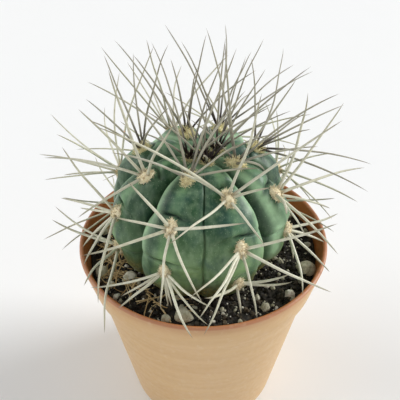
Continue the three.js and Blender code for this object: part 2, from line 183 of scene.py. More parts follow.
# Each spine is (clock angle from straight up the rib, lift off the skin, length).
YOUNG_FAN = (
    (-22, 62, 25), (24, 58, 27), (-66, 52, 28), (64, 50, 27), (-112, 44, 25), (110, 46, 26), (178, 40, 20),
)
OLD_FAN = (
    (-48, 40, 16), (50, 38, 17), (-84, 28, 22), (86, 28, 22), (-122, 24, 22), (120, 24, 22), (-160, 26, 17),
    (162, 26, 18),
)
CROWN_FAN = ((10, 80, 13), (95, 74, 17), (180, 78, 12), (-85, 74, 16), (50, 66, 9), (-130, 68, 10))
# Sprays on the viewer's side and round the crown have fans of their own, by rib and step.
OWN_FANS = {
    (0, 0): (
        (86, 30, 17), (-76, 51, 21), (-48, 59, 20), (35, 53, 23), (71, 49, 15), (-117, 36, 18),
        (19, 60, 30),
    ),
    (0, 1): ((-122, 30, 19), (164, 30, 17), (131, 30, 18), (-90, 30, 12), (-39, 51, 17), (67, 30, 20)),
    (0, 2): (
        (-104, 30, 17), (-126, 50, 13), (-128, 30, 12), (161, 30, 8), (154, 30, 8), (111, 46, 16),
        (107, 30, 15), (77, 30, 15),
    ),
    (1, 0): ((101, 46, 31), (-101, 49, 25), (140, 41, 19), (-152, 42, 19)),
    (1, 1): (
        (-60, 30, 18), (99, 30, 9), (-59, 34, 35), (31, 50, 25), (77, 34, 29), (-116, 24, 20),
        (172, 24, 13),
    ),
    (1, 2): ((76, 30, 21), (126, 30, 22), (-175, 30, 15), (-126, 30, 20), (-91, 34, 19), (-111, 34, 19)),
    (1, 3): ((-152, 66, 7), (68, 30, 12), (62, 22, 12), (-47, 18, 17)),
    (2, 0): (
        (33, 50, 31), (54, 51, 27), (115, 48, 23), (147, 45, 27), (24, 14, 15), (-116, 42, 25),
        (176, 36, 19),
    ),
    (2, 1): (
        (157, 30, 14), (-155, 30, 19), (-130, 30, 12), (50, 35, 24), (76, 41, 27), (124, 33, 26),
        (-75, 35, 18),
    ),
    (2, 2): ((92, 50, 15), (142, 55, 12), (-103, 30, 17), (-160, 26, 8), (-174, 45, 15)),
    (3, 0): (
        (126, 55, 26), (151, 47, 28), (87, 34, 19), (103, 18, 7), (-169, 26, 19), (174, 55, 22),
        (142, 46, 23),
    ),
    (3, 1): (
        (109, 50, 29), (161, 45, 18), (-166, 19, 34), (172, 43, 28), (-123, 20, 28), (72, 50, 22),
        (-66, 43, 23),
    ),
    (4, 1): (
        (114, 44, 33), (154, 56, 31), (-144, 43, 28), (-168, 66, 22), (-129, 38, 30), (49, 53, 24),
        (-172, 26, 20),
    ),
    (5, 0): ((-106, 62, 24), (-179, 64, 18), (118, 63, 23), (-80, 42, 22), (56, 60, 15), (-142, 46, 17)),
    (5, 1): (
        (39, 38, 31), (16, 32, 31), (-119, 60, 23), (113, 77, 23), (-169, 52, 22), (-87, 40, 28),
        (90, 48, 25),
    ),
    (6, 0): ((-176, 75, 18), (-63, 59, 23), (-99, 66, 25), (-57, 40, 26), (66, 49, 22), (20, 27, 23)),
    (6, 1): (
        (-106, 70, 30), (-179, 72, 26), (-51, 31, 27), (-31, 10, 32), (128, 63, 15), (-93, 40, 26),
        (39, 27, 26), (81, 43, 20),
    ),
    (7, 0): ((-48, 41, 28), (-127, 49, 31), (-126, 66, 28), (64, 55, 26), (-171, 38, 14)),
    (7, 1): ((-135, 21, 26), (175, 16, 17), (-64, 47, 25), (34, 46, 20), (-101, 33, 23)),
    (7, 2): ((-179, 30, 12), (157, 30, 14), (107, 26, 23), (-124, 30, 11), (-119, 26, 19), (-74, 30, 21)),
}

# The largest chips of perlite and pumice: x, y and half width.
CHIPS = np.array([
    (26.1, -9.7, 2.2), (19.9, -6.6, 1.1), (28.2, 4.3, 1.3), (14.9, -22.0, 1.2), (20.7, -18.8, 1.6),
    (24.4, -13.6, 0.9), (-28.1, 4.9, 1.5), (-26.0, -10.6, 1.7), (-20.8, -19.3, 1.2), (-18.6, -12.4, 1.4),
    (-23.0, -15.2, 1.0), (-8.8, -25.6, 1.1), (-4.4, -24.9, 1.9), (-12.2, 25.3, 1.6), (4.0, 27.0, 1.2),
    (17.5, 21.0, 1.8), (24.5, 11.5, 1.3), (-23.6, 14.6, 1.6),
])

radians = math.radians


def random_from(seed):
    """The same numbers come out each time for the same seed."""
    state = seed

    def draw():
        nonlocal state
        state = (state * 1664525 + 1013904223) % 2**32
        return state / 2**32

    return draw


def smoothstep(value, low, high):
    share = np.clip((value - low) / (high - low), 0, 1)
    return share * share * (3 - 2 * share)


def between(low, high, share):
    return low + (high - low) * share


def unit(vectors):
    return vectors / np.linalg.norm(vectors, axis=-1, keepdims=True)


# The pot's wall.
def outer_radius(z):
    band = between(POT.band_foot_radius, POT.rim_radius, (z - POT.shoulder) / POT.band_height)
    body = between(POT.foot_radius, POT.shoulder_radius, z / POT.shoulder)
    return np.where(z > POT.height, POT.rim_radius, np.where(z > POT.shoulder, band, body))


def inner_radius(z):
    return outer_radius(z) - POT.wall


# The plant's own frame: its centre is the middle of the stem, its Z axis the stem's axis.
def lean_matrix():
    """The plant's turn in full precision: forwards about X, then to the right about Y."""
    a, b = radians(STEM.lean_forward), radians(STEM.lean_right)
    about_x = np.array([[1, 0, 0], [0, math.cos(a), -math.sin(a)], [0, math.sin(a), math.cos(a)]])
    about_y = np.array([[math.cos(b), 0, math.sin(b)], [0, 1, 0], [-math.sin(b), 0, math.cos(b)]])
    return about_y @ about_x


PLANT = lean_matrix()


def to_world(points):
    return points @ PLANT.T + STEM.centre


def to_plant(points):
    return (points - STEM.centre) @ PLANT


# The stem's skin. Along a rib, 0 is the crown and each areole is one step further down.
def polar_at(along):
    crowded = AREOLE.crowding * (1 - np.exp(-AREOLE.crowding_fade * along))
    return np.radians(AREOLE.spacing * along - crowded)


def along_at(polar):
    target = np.degrees(polar)
    along = (target + AREOLE.crowding) / AREOLE.spacing
    for _ in range(8):
        faded = AREOLE.crowding * np.exp(-AREOLE.crowding_fade * along)
        reached = AREOLE.spacing * along - AREOLE.crowding + faded
        along = along - (reached - target) / (AREOLE.spacing - AREOLE.crowding_fade * faded)
    return along


def rib_azimuth(rib):
    return np.radians(STEM.first_rib + 360 / STEM.ribs * rib)


def furrow_swing(rib, along):
    """How far the furrow after a rib swings aside between the tubercles."""
    here, after = (AREOLE.first_place[index % STEM.ribs] for index in (rib, rib + 1))
    waves = [np.cos(TURN * (along - place - STEM.furrow_lag)) for place in (here, after)]
    return np.radians(STEM.furrow_wander[rib % STEM.ribs]) * (waves[0] - waves[1])


def azimuth_on(rib, across, along):
    """across runs from -1 in one furrow of the rib to 1 in the other."""
    swing = np.where(across > 0, furrow_swing(rib, along), -furrow_swing(rib - 1, along))
    return rib_azimuth(rib) + across * (math.pi / STEM.ribs + swing)


def crease_place(across):
    return STEM.crease_at + STEM.crease_bow * np.abs(across)


def place_between(rib, along):
    """Where a point is between two areoles of its rib, from 0 to 1."""
    return (along - AREOLE.first_place[rib % STEM.ribs]) % 1


def tubercle(rib, across, along):
    """Height of the chin that swells below each areole and ends at a crease."""
    side = np.abs(across)
    place = place_between(rib, along)
    below = np.minimum(place / crease_place(across), 1)
    swell = below**1.2 * (1 - below**5) * 1.6
    nick = np.exp(-(((place - crease_place(across)) / STEM.crease_width) ** 2))
    return STEM.chin * swell * (1 - side**2.5) - STEM.crease * nick * (1 - side * side)


def skin_fade(polar):
    """The relief fades into the crown and gets shallow near the foot."""
    crown = smoothstep(polar, *np.radians(STEM.crown_fade))
    return crown * (1 - STEM.foot_shallow * smoothstep(polar, *np.radians(STEM.foot_fade)))


def half_height(upwards):
    """A low dome above the stem's waist and a deeper bowl below it."""
    return np.where(upwards > 0, STEM.dome_height, STEM.bowl_height)


def skin_normal(azimuth, polar):
    flat, upwards = np.sin(polar) / STEM.radius, np.cos(polar)
    steep = upwards / half_height(upwards)
    return unit(np.stack([np.sin(azimuth) * flat, -np.cos(azimuth) * flat, steep], axis=-1))


def skin(rib, across, polar, lift=0):
    along = along_at(polar)
    azimuth = azimuth_on(rib, across, along)
    fade = skin_fade(polar)
    depth = STEM.furrow_depth[np.where(across > 0, rib, rib - 1) % STEM.ribs]
    share = 1 - depth * np.abs(across) ** STEM.shoulder_power[rib % STEM.ribs] * fade
    sine, cosine = np.sin(polar), np.cos(polar)
    radius = STEM.radius * share * np.where(cosine > 0, sine, np.abs(sine) ** STEM.base_power)
    dip = STEM.crown_dip * np.exp(-((STEM.radius * sine / STEM.crown_dip_radius) ** 2))
    height = half_height(cosine) * share * cosine
    points = np.stack([radius * np.sin(azimuth), -radius * np.cos(azimuth), height], axis=-1)
    points = points + skin_normal(azimuth, polar) * (tubercle(rib, across, along) * fade + lift)[..., None]
    points[..., 2] -= np.where(polar < math.pi / 2, dip, 0)
    return points


def skin_clearance(points):
    """How far points of the plant's frame stand off the skin, measured from the stem's middle."""
    x, y, z = points[..., 0], points[..., 1], points[..., 2]
    polar = np.arctan2(np.hypot(x, y) / STEM.radius, z / half_height(z))
    azimuth = np.arctan2(x, -y) - rib_azimuth(0) + math.pi / STEM.ribs
    turned = (azimuth % TURN) / (TURN / STEM.ribs)
    rib = np.floor(turned).astype(int)
    surface = skin(rib, (turned - rib) * 2 - 1, polar)
    return np.linalg.norm(points, axis=-1) - np.linalg.norm(surface, axis=-1)


# Areoles, each with a frame of its own: up the rib, across it and out of the skin.
def areole_at(rib, step):
    along = AREOLE.first_place[rib] + step
    polar = polar_at(along)
    centre, ahead, behind = (skin(rib, np.float64(0), polar + turn) for turn in (0, -0.25, 0.25))
    up = unit(ahead - behind)
    azimuth = rib_azimuth(rib)
    across = np.array([math.cos(azimuth), math.sin(azimuth), 0])
    size = AREOLE.young_pad + (1 - AREOLE.young_pad) * smoothstep(along, 0.2, 1)
    return SimpleNamespace(
        name=f"{rib + 1}_{step + 1}", node=f"areole_{rib + 1}_{step + 1}", key=(rib, step), along=along,
        size=size, centre=centre, up=up, across=across, out=np.cross(across, up),
    )


def crown_areole():
    return SimpleNamespace(
        name="crown", node="crown_tuft", key=None, along=0.0, size=AREOLE.crown_pad,
        centre=np.array([0, 0, STEM.dome_height - STEM.crown_dip]),
        up=np.array([0.0, 1, 0]), across=np.array([1.0, 0, 0]), out=np.array([0.0, 0, 1]),
    )


def all_areoles():
    found = [crown_areole()]
    for step in range(5):
        for rib in range(STEM.ribs):
            along = AREOLE.first_place[rib] + step
            if along >= AREOLE.youngest and polar_at(along) <= radians(AREOLE.lowest):
                found.append(areole_at(rib, step))
    return found


def fan_of(place, draw):
    """The fan of an areole: its own, or a young or an old one with every spine a little off."""
    if place.key is None:
        return CROWN_FAN
    if place.key in OWN_FANS:
        return OWN_FANS[place.key]
    fan = YOUNG_FAN if place.along < AREOLE.young_until else OLD_FAN
    return [
        (
            clock + SPINE.clock_scatter * (draw() - 0.5),
            lift + SPINE.lift_scatter * (draw() - 0.5),
            length * (SPINE.shortest + SPINE.length_scatter * draw()),
        )
        for clock, lift, length in fan
    ]


def spine_at(place, clock, lift, length, sway):
    """A spine's root and directions. Its line is then a formula of how far along it one is."""
    turn, pitch = radians(clock), radians(lift)
    flat = place.up * math.cos(turn) + place.across * math.sin(turn)
    return SimpleNamespace(
        place=place, length=length, sway=sway, out=place.out, aside=np.cross(place.out, flat),
        root=place.centre + place.out * SPINE.root_height + flat * SPINE.root_spread,
        direction=flat * math.cos(pitch) + place.out * math.sin(pitch),
    )


def spine_line(spine, reach):
    """A spine bows back towards the skin, arches along its middle and sways to one side."""
    t = np.asarray(reach)[..., None]
    middle = 4 * t * (1 - t)
    rise = spine.length * (SPINE.arch * middle - SPINE.bow * t * t)
    return (
        spine.root + spine.direction * spine.length * t + spine.out * rise
        + spine.aside * spine.length * spine.sway * middle
    )


def gaps_between(starts, ends, other_starts, other_ends):
    """Closest distance of every stretch to every other stretch."""
    a, c = starts[:, None], other_starts[None]
    u, v = (ends - starts)[:, None], (other_ends - other_starts)[None]
    w = a - c
    uu, uv, vv, uw, vw = ((p * q).sum(-1) for p, q in ((u, u), (u, v), (v, v), (u, w), (v, w)))
    flat = uu * vv - uv * uv
    s = np.where(flat > 1e-9, np.clip((uv * vw - vv * uw) / np.where(flat > 1e-9, flat, 1), 0, 1), 0)
    t = np.clip((uv * s + vw) / vv, 0, 1)
    s = np.clip((uv * t - uw) / uu, 0, 1)
    return np.linalg.norm(w + u * s[..., None] - v * t[..., None], axis=-1)


def clear_of_pot(points):
    world = to_world(points)
    z, radius = world[:, 2], np.hypot(world[:, 0], world[:, 1])
    inside = radius < inner_radius(z) - SPINE.pot_room
    beyond = (z > POT.height + SPINE.pot_room) | (radius > outer_radius(z) + SPINE.pot_room)
    gaps = np.linalg.norm(world[:, None] - chip_centres()[None], axis=-1) - CHIPS[:, 2]
    clear_of_chips = (gaps > SPINE.radius + CLEARANCE).all()
    return clear_of_chips and np.where(inside, z > SOIL.top + SOIL.spine_room, beyond).all()


def is_clear(line, place, places, placed):
    """A spine may not touch the skin, the soil, the pot, or another areole's spines or pad."""
    starts, ends = line[:-1], line[1:]
    checked = np.concatenate([starts + (ends - starts) * t for t in SPINE.checks])
    if (skin_clearance(checked) <= SPINE.radius + CLEARANCE).any() or not clear_of_pot(checked):
        return False
    others = [other for other in places if other is not place]
    centres = np.array([other.centre for other in others])
    tops = centres + 0.1 * np.array([other.out for other in others])
    pad_room = AREOLE.pad_half[1] * np.array([other.size for other in others]) + SPINE.radius + CLEARANCE
    if (gaps_between(starts, ends, centres, tops) < pad_room).any():
        return False
    lines = [other_line for other, other_line in placed if other.place is not place]
    if not lines:
        return True
    other_starts = np.concatenate([other_line[:-1] for other_line in lines])
    other_ends = np.concatenate([other_line[1:] for other_line in lines])
    return (gaps_between(starts, ends, other_starts, other_ends) >= 2 * SPINE.radius + CLEARANCE).all()


def place_spines(places):
    """Every spine stands where its solid stands: turned and lifted until it is clear, or left out."""
    nudges = [(0, 0)]
    for size in (5, 10, 15, 20, 26):
        nudges += [(size, 0), (-size, 0), (0, size), (size, size), (-size, size), (0, -size)]
    draw = random_from(SPINE.seed)
    placed = []
    for place in places:
        for clock, lift, length in fan_of(place, draw):
            sway = SPINE.sway * (2 * draw() - 1)
            for turn, rise in nudges:
                spine = spine_at(place, clock + turn, lift + rise, length, sway)
                line = spine_line(spine, SPINE.steps)
                if is_clear(line, place, places, placed):
                    placed.append((spine, line))
                    break
    return [spine for spine, _ in placed]


# The soil's surface.
def soil_height(x, y):
    waves = np.sin(0.31 * x + 1.2) + np.sin(0.27 * y - 0.4) + np.sin(0.22 * (x + y))
    return SOIL.top + SOIL.swell / 3 * waves


def chip_centres():
    x, y, radius = CHIPS.T
    return np.stack([x, y, soil_height(x, y) + 0.25 * radius], axis=-1)


def lumps(points, size, octaves=3):
    """Soft noise of about -1 to 1, with lumps of a size in millimetres."""
    return np.array([noise.fractal(Vector(point) / size, 1.0, 2.0, octaves) for point in points])


# Colours and materials.
def linear(hex_colour):
    """An sRGB hex colour as linear red, green, blue and alpha."""
    parts = [int(hex_colour[start:start + 2], 16) / 255 for start in (1, 3, 5)]
    return (*[part / 12.92 if part <= 0.04045 else ((part + 0.055) / 1.055) ** 2.4 for part in parts], 1.0)


def colour(name, description, hex_colour):
    return FloatVectorProperty(
        name=name, description=description, default=linear(hex_colour), size=4, subtype="COLOR", min=0,
        max=1,
    )


def length(name, description, millimetres):
    return FloatProperty(name=name, description=description, default=millimetres * MM, min=0, unit="LENGTH")


def count(name, description, number):
    return IntProperty(name=name, description=description, default=number, min=0)


def share(name, description, value):
    return FloatProperty(name=name, description=description, default=value, min=0, max=1, subtype="FACTOR")


def brightness(name, description, value):
    return FloatProperty(name=name, description=description, default=value, min=0)


def degrees(name, description, value):
    return FloatProperty(name=name, description=description, default=radians(value), unit="ROTATION")


def per_metre(millimetres):
    """The scale that gives a pattern a size in millimetres."""
    return 1 / (millimetres * MM)


# What each kind of node is: its type, the output that is used, the sockets that its values fill in order,
# and its settings.
COLOUR_MIX = ("ShaderNodeMix", "Result_Color", ("Factor_Float", "A_Color", "B_Color"))
ARITHMETIC = ("ShaderNodeMath", "Value", ("Value", "Value_001"))
NODES = {
    "place": ("ShaderNodeTexCoord", "Object", (), {}),
    "stretched": ("ShaderNodeMapping", "Vector", ("Vector", "Scale"), {}),
    "upwards": ("ShaderNodeSeparateXYZ", "Z", ("Vector",), {}),
    "note": ("ShaderNodeAttribute", "Fac", (), {}),
    "grain": ("ShaderNodeTexNoise", "Fac", ("Vector", "Scale", "Detail", "Roughness"), {}),
    "cells": ("ShaderNodeTexVoronoi", "Distance", ("Vector", "Scale"), {}),
    "window": ("ShaderNodeMapRange", "Result", ("Value", "From Min", "From Max", "To Min", "To Max"), {}),
    "product": (*ARITHMETIC, {"operation": "MULTIPLY"}),
    "difference": (*ARITHMETIC, {"operation": "SUBTRACT"}),
    "ramp": ("ShaderNodeValToRGB", "Color", ("Fac",), {}),
    "mix": (*COLOUR_MIX, {"data_type": "RGBA"}),
    "tint": (*COLOUR_MIX, {"data_type": "RGBA", "blend_type": "MULTIPLY"}),
    "relief": ("ShaderNodeBump", "Normal", ("Height", "Distance", "Strength", "Normal"), {}),
    "shader": ("ShaderNodeBsdfPrincipled", "BSDF", (), {}),
    "surface": ("ShaderNodeOutputMaterial", None, ("Surface",), {}),
    "light": ("ShaderNodeBackground", "Background", ("Color", "Strength"), {}),
    "room": ("ShaderNodeOutputWorld", None, ("Surface",), {}),
}


def add_node(tree, kind, *values, stops=(), sockets=None, **settings):
    """Adds a node with its settings and its ramp, fills or links its sockets, and gives its output."""
    type_name, output, order, fixed = NODES[kind]
    node = tree.nodes.new(type_name)
    for name, value in {**fixed, **settings}.items():
        setattr(node, name, value)
    for index, (place, shade) in enumerate(stops):
        elements = node.color_ramp.elements
        stop = elements[index] if index < 2 else elements.new(place)
        stop.position, stop.color = place, shade
    for name, value in {**dict(zip(order, values)), **(sockets or {})}.items():
        socket = next(s for s in node.inputs if s.identifier == name)
        if isinstance(value, bpy.types.NodeSocket):
            tree.links.new(value, socket)
        else:
            socket.default_value = value
    return next((o for o in node.outputs if o.identifier == output), None)


def emptied(owner):
    """Clears a material's or a world's nodes, and gives the function that adds one to it."""
    owner.use_nodes = True
    owner.node_tree.nodes.clear()
    return partial(add_node, owner.node_tree)


def made_of(finish, sizes):
    """A material named for its finish. The finish gives what goes into the shader's sockets."""
    material = bpy.data.materials.new(finish.__name__)
    add = emptied(material)
    add("surface", add("shader", sockets=finish(add, add("place"), sizes)))
    return material


def moulded_polypropylene(add, place, sizes):
    """Injection-moulded polypropylene, 1.1 mm thick: satin, faintly translucent, with soft flow marks."""
    # One plastic in two colours: the pale tan outside is partly painted light, and the darker terracotta
    # inside is partly painted shade.
    wall = add("ramp", add("note", attribute_name="inside"), stops=(
        (0.0, sizes.outside), (1.0, sizes.inside), (0.5, sizes.lip), (0.2, sizes.outside),
    ))
    flow = add("grain", add("stretched", place, (0.5, 0.5, 5)), per_metre(9), 3)
    marked = add("tint", add("window", flow, 0.35, 0.75, 0, 0.22), wall, sizes.flow)
    splashes = add("window", add("grain", place, per_metre(2.2), 4, 0.65), 0.56, 0.74, 0, 0.22)
    orange_peel = add("relief", add("grain", place, per_metre(0.9), 2), 0.03 * MM, 0.5)
    return {
        "Base Color": add("mix", splashes, marked, sizes.dust),
        "Roughness": add("window", add("grain", place, per_metre(1.4), 3), 0.3, 0.7, 0.36, 0.5),
        "Normal": add("relief", flow, 0.08 * MM, 0.5, orange_peel),
        "IOR": 1.49,
        "Subsurface Weight": 0.12,
        "Subsurface Radius": (1.0, 0.55, 0.3),
        "Subsurface Scale": 1.2 * MM,
    }


def damp_peat(add, place, sizes):
    """Damp peat: near black and matt, with brown crumbs and a few wet glints."""
    earth = add("ramp", add("note", attribute_name="tone"), stops=(
        (0.0, sizes.peat_dark), (1.0, sizes.peat_brown), (0.6, sizes.peat),
    ))
    specks = add("window", add("grain", place, per_metre(0.7), 3, 0.6), 0.5, 0.72, 0, 0.5)
    return {
        "Base Color": add("mix", specks, earth, sizes.peat_brown),
        "Roughness": add("window", add("grain", place, per_metre(1.1), 2), 0.35, 0.65, 0.55, 0.95),
        "Normal": add("relief", add("grain", place, per_metre(0.5), 4, 0.7), 0.25 * MM, 0.9),
        "Specular IOR Level": 0.35,
    }


def expanded_perlite(add, place, sizes):
    """Expanded perlite and pumice: off-white to grey-green, pitted and chalky."""
    stone = add("ramp", add("note", attribute_name="tone"), stops=(
        (0.0, sizes.chip_grey), (1.0, sizes.chip_white), (0.5, sizes.chip),
    ))
    stain = add("window", add("grain", place, per_metre(1.2), 4, 0.65), 0.42, 0.62, 0, 0.7)
    pores = add("window", add("cells", place, per_metre(0.45)), 0.1, 0.5)
    pitted = add("relief", pores, 0.12 * MM, 0.7)
    return {
        "Base Color": add("mix", stain, stone, sizes.chip_stain),
        "Roughness": 0.92,
        "Normal": add("relief", add("grain", place, per_metre(0.8), 3), 0.15 * MM, 0.6, pitted),
    }


def dry_fibre(add, place, sizes):
    """Dry coir and old roots: straw brown, matt."""
    straw = add("ramp", add("note", attribute_name="tone"), stops=(
        (0.0, sizes.fibre_dark), (1.0, sizes.fibre),
    ))
    faded = add("window", add("grain", place, per_metre(1.2), 2), 0.4, 0.7, 0, 0.5)
    return {
        "Base Color": add("mix", faded, straw, sizes.fibre_dark),
        "Roughness": 0.8,
    }


def waxy_epidermis(add, place, sizes):
    """Cactus skin: blue-green under a thin pale wax, corky at the soil, with painted shade in the furrows.
    """
    names = ("across", "painted_shade", "pale", "chin", "crease", "low", "youth", "foot")
    note = {name: add("note", attribute_name=name) for name in names}
    clouds = add("window", add("grain", place, per_metre(6.5), 3, 0.55), 0.42, 0.64, 0, 0.75)
    bloom = add("window", add("grain", place, per_metre(2.4), 5, 0.62), 0.46, 0.78, 0, sizes.bloom)
    lengthwise = add("stretched", place, (1, 1, 0.14))
    streaks = add("window", add("grain", lengthwise, per_metre(1.7), 3), 0.45, 0.68, 0, 0.3)
    broken = add("window", add("grain", place, per_metre(3.2), 3), 0.35, 0.65, 0.6, 1)
    pores = add("window", add("cells", place, per_metre(0.55)), 0.12, 0.22, 0.3, 0)
    shade = add("window", clouds, 0, 0.75, 0.72, 0.25)
    patches = add("window", add("grain", place, per_metre(1.3), 4, 0.65), 0.38, 0.6, 0.35, 1)
    bark = add("window", add("grain", place, per_metre(0.8), 3), 0.4, 0.6)

    # Each layer lies over the ones before it.
    # Across each rib the colour runs from the crest over the flanks to near black in the furrows: painted
    # shade in the furrows.
    skin_colour = add("ramp", note["across"], stops=(
        (0.0, sizes.crest), (1.0, sizes.furrow), (0.25, sizes.flank), (0.93, sizes.flank),
    ))
    layers = (
        (clouds, sizes.blue_cast),
        (bloom, sizes.wax),
        (streaks, sizes.wax),
        # Painted shade on the faces that lie in shadow.
        (add("product", note["painted_shade"], 0.72), sizes.furrow),
        # Painted highlight along the shoulders.
        (add("product", note["pale"], broken), sizes.shoulder),
        (add("product", note["chin"], 0.35), sizes.crest),
        # Painted shade in the slits, the creases and the furrow lines.
        (add("product", note["crease"], 0.8), sizes.crease),
        (pores, sizes.wax),
        # Painted light over the lower half, broken up by the clouds.
        (add("product", note["low"], shade), sizes.lower_painted_light),
        (add("product", note["youth"], 0.5), sizes.young),
        (add("product", note["foot"], patches), add("mix", bark, sizes.cork, sizes.cork_dark)),
    )
    for cover, layer in layers:
        skin_colour = add("mix", cover, skin_colour, layer)

    cells = add("relief", add("grain", place, per_metre(0.35), 2), 0.025 * MM, 0.6)
    undulating = add("relief", add("grain", place, per_metre(2.2), 3), 0.1 * MM, 0.6, cells)
    flakes = add("product", add("grain", place, per_metre(0.9), 4, 0.7), note["foot"])
    return {
        "Base Color": skin_colour,
        "Roughness": add("window", add("grain", place, per_metre(1.5), 3), 0.3, 0.7, 0.36, 0.52),
        "Normal": add("relief", flakes, 0.5 * MM, 0.8, undulating),
        "IOR": 1.42,
        "Subsurface Weight": 0.12,
        "Subsurface Radius": (0.5, 1.0, 0.45),
        "Subsurface Scale": 0.9 * MM,
        "Sheen Weight": 0.06,
        "Sheen Roughness": 0.45,
        "Sheen Tint": sizes.wax,
    }


def spine_horn(add, place, sizes):
    """Spine horn: ivory to grey with brown tips. Young spines are grey-brown above a black-brown root."""
    reach, youth, tone = (add("note", attribute_name=name) for name in ("reach", "youth", "tone"))
    old = add("ramp", reach, stops=(
        (0.0, sizes.horn_root), (1.0, sizes.horn_tip), (0.07, sizes.horn_ivory), (0.6, sizes.horn_ivory),
        (0.88, sizes.horn_grey),
    ))
    young = add("ramp", reach, stops=(
        (0.0, sizes.young_root), (1.0, sizes.horn_tip), (0.1, sizes.young_root), (0.26, sizes.young_grey),
        (0.75, sizes.young_grey),
    ))
    toned = add("tint", add("product", tone, 0.35), add("mix", youth, old, young), sizes.horn_grey)
    bands = add("window", add("grain", place, per_metre(1.1), 3), 0.45, 0.7, 0, 0.3)
    return {
        "Base Color": add("tint", bands, toned, sizes.horn_grey),
        "Roughness": 0.42,
        "Normal": add("relief", add("grain", place, per_metre(0.4), 2), 0.04 * MM, 0.6),
        "IOR": 1.5,
        "Subsurface Weight": 0.1,
        "Subsurface Radius": (1.0, 0.8, 0.6),
        "Subsurface Scale": 0.3 * MM,
    }


def areole_felt(add, place, sizes):
    """Areole wool: matted cream and tan hairs, yellowish green where it is young."""
    youth, tone = (add("note", attribute_name=name) for name in ("youth", "tone"))
    wool = add("ramp", tone, stops=((0.0, sizes.felt_tan), (1.0, sizes.felt_cream)))
    patches = add("window", add("grain", place, per_metre(0.8), 4, 0.6), 0.52, 0.66, 0, 0.75)
    matted = add("mix", patches, wool, sizes.felt_brown)
    return {
        "Base Color": add("mix", add("product", youth, 0.55), matted, sizes.felt_young),
        "Roughness": 0.95,
        "Normal": add("relief", add("grain", place, per_metre(0.3), 3, 0.7), 0.15 * MM, 0.8),
        "Sheen Weight": 1.0,
        "Sheen Roughness": 0.6,
        "Sheen Tint": sizes.felt_cream,
    }


def painted_board(add, place, sizes):
    """A matt pale board to stand things on."""
    faint = add("window", add("grain", place, per_metre(60), 3), 0.3, 0.7, 0, 0.03)
    return {
        "Base Color": add("mix", faint, sizes.floor, sizes.floor_shade),
        "Roughness": 0.85,
    }


# Shapes that are repeated.
def shape_from(bm, name):
    mesh = bpy.data.meshes.new(name)
    bm.to_mesh(mesh)
    bm.free()
    return mesh


def spun(outline, steps):
    """An outline of (radius, height) spun about the Z axis, as a bmesh whose faces point outwards."""
    bm = bmesh.new()
    corners = [bm.verts.new((radius, 0, height)) for radius, height in outline]
    edges = [bm.edges.new(pair) for pair in zip(corners, corners[1:])]
    bmesh.ops.spin(
        bm, geom=corners + edges, cent=(0, 0, 0), axis=(0, 0, 1), angle=TURN, steps=steps, use_merge=True
    )
    bmesh.ops.remove_doubles(bm, verts=bm.verts, dist=MERGE)
    bmesh.ops.recalc_face_normals(bm, faces=bm.faces)
    return bm


def needle_shape(sides, rings):
    """A tube of radius 1 along Z from 0 to 1, ready to be bent and thinned."""
    bm = bmesh.new()
    middle = Matrix.Translation((0, 0, 0.5))
    bmesh.ops.create_cone(bm, cap_ends=True, segments=sides, radius1=1, radius2=1, depth=1, matrix=middle)
    lengthwise = [edge for edge in bm.edges if abs(edge.verts[0].co.z - edge.verts[1].co.z) > 0.5]
    bmesh.ops.subdivide_edges(bm, edges=lengthwise, cuts=rings)
    return shape_from(bm, "needle")


def grain_shape(subdivisions):
    """A ball of radius 1, ready to be knocked out of shape."""
    bm = bmesh.new()
    bmesh.ops.create_icosphere(bm, subdivisions=subdivisions, radius=1)
    return shape_from(bm, "grain")


def pad_shape():
    bm = bmesh.new()
    bmesh.ops.create_uvsphere(bm, u_segments=18, v_segments=12, radius=1)
    return shape_from(bm, "pad")


def corners_of(mesh):
    corners = np.empty(len(mesh.vertices) * 3, np.float32)
    mesh.vertices.foreach_get("co", corners)
    return corners.reshape(-1, 3).astype(float)


def move_corners(mesh, corners):
    """Puts a mesh's corners at places given in millimetres."""
    mesh.vertices.foreach_set("co", (corners * MM).astype(np.float32).ravel())


def set_notes(mesh, notes):
    """Writes one value for each corner under each name, for a material to read."""
    for name, values in notes.items():
        layer = mesh.attributes.new(name, "FLOAT", "POINT")
        layer.data.foreach_set("value", np.asarray(values, np.float32).ravel())


def put_in_scene(name, data):
    item = bpy.data.objects.new(name, data)
    bpy.context.scene.collection.objects.link(item)
    return item


def set_piece(mesh, name, materials, slot, *nodes):
    """Makes a mesh a piece of the object, in the place of its solids."""
    for material in materials:
        mesh.materials.append(material)
    mesh.update()
    piece = put_in_scene(name, mesh)
    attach(piece, "root")
    if nodes:
        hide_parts(*nodes)
    return piece


def joined(name, parts):
    """One mesh of repeated shapes. A part is (shape, corners of every copy, notes, smooth or faceted)."""
    bm = bmesh.new()
    for shape, places, _, _ in parts:
        for _copy in places:
            bm.from_mesh(shape)
    mesh = shape_from(bm, name)
    move_corners(mesh, np.concatenate([places.reshape(-1, 3) for _, places, _, _ in parts]))
    for key in sorted({key for _, _, notes, _ in parts for key in notes}):
        values = [
            np.broadcast_to(notes.get(key, 0.0), places.shape[:2]).ravel() for _, places, notes, _ in parts
        ]
        set_notes(mesh, {key: np.concatenate(values)})
    faces = [len(shape.polygons) * len(places) for shape, places, _, _ in parts]
    finishes = np.repeat(np.arange(len(parts)), faces)
    smooth = np.repeat([smooth for _, _, _, smooth in parts], faces)
    mesh.polygons.foreach_set("material_index", finishes.astype(np.int32))
    mesh.polygons.foreach_set("use_smooth", smooth)
    return mesh


def square_to(directions):
    """A direction at right angles to each one given."""
    return unit(np.cross(np.array([0.3, 0.5, 0.81]), directions))


def bent(shape, centres, girths, directions):
    """Lays a needle shape along each line, with a centre and a girth for every corner of every copy."""
    sides = square_to(directions)
    others = np.cross(directions, sides)
    corners = corners_of(shape)
    offsets = sides[:, None] * corners[None, :, :1] + others[:, None] * corners[None, :, 1:2]
    return centres + offsets * girths[..., None]


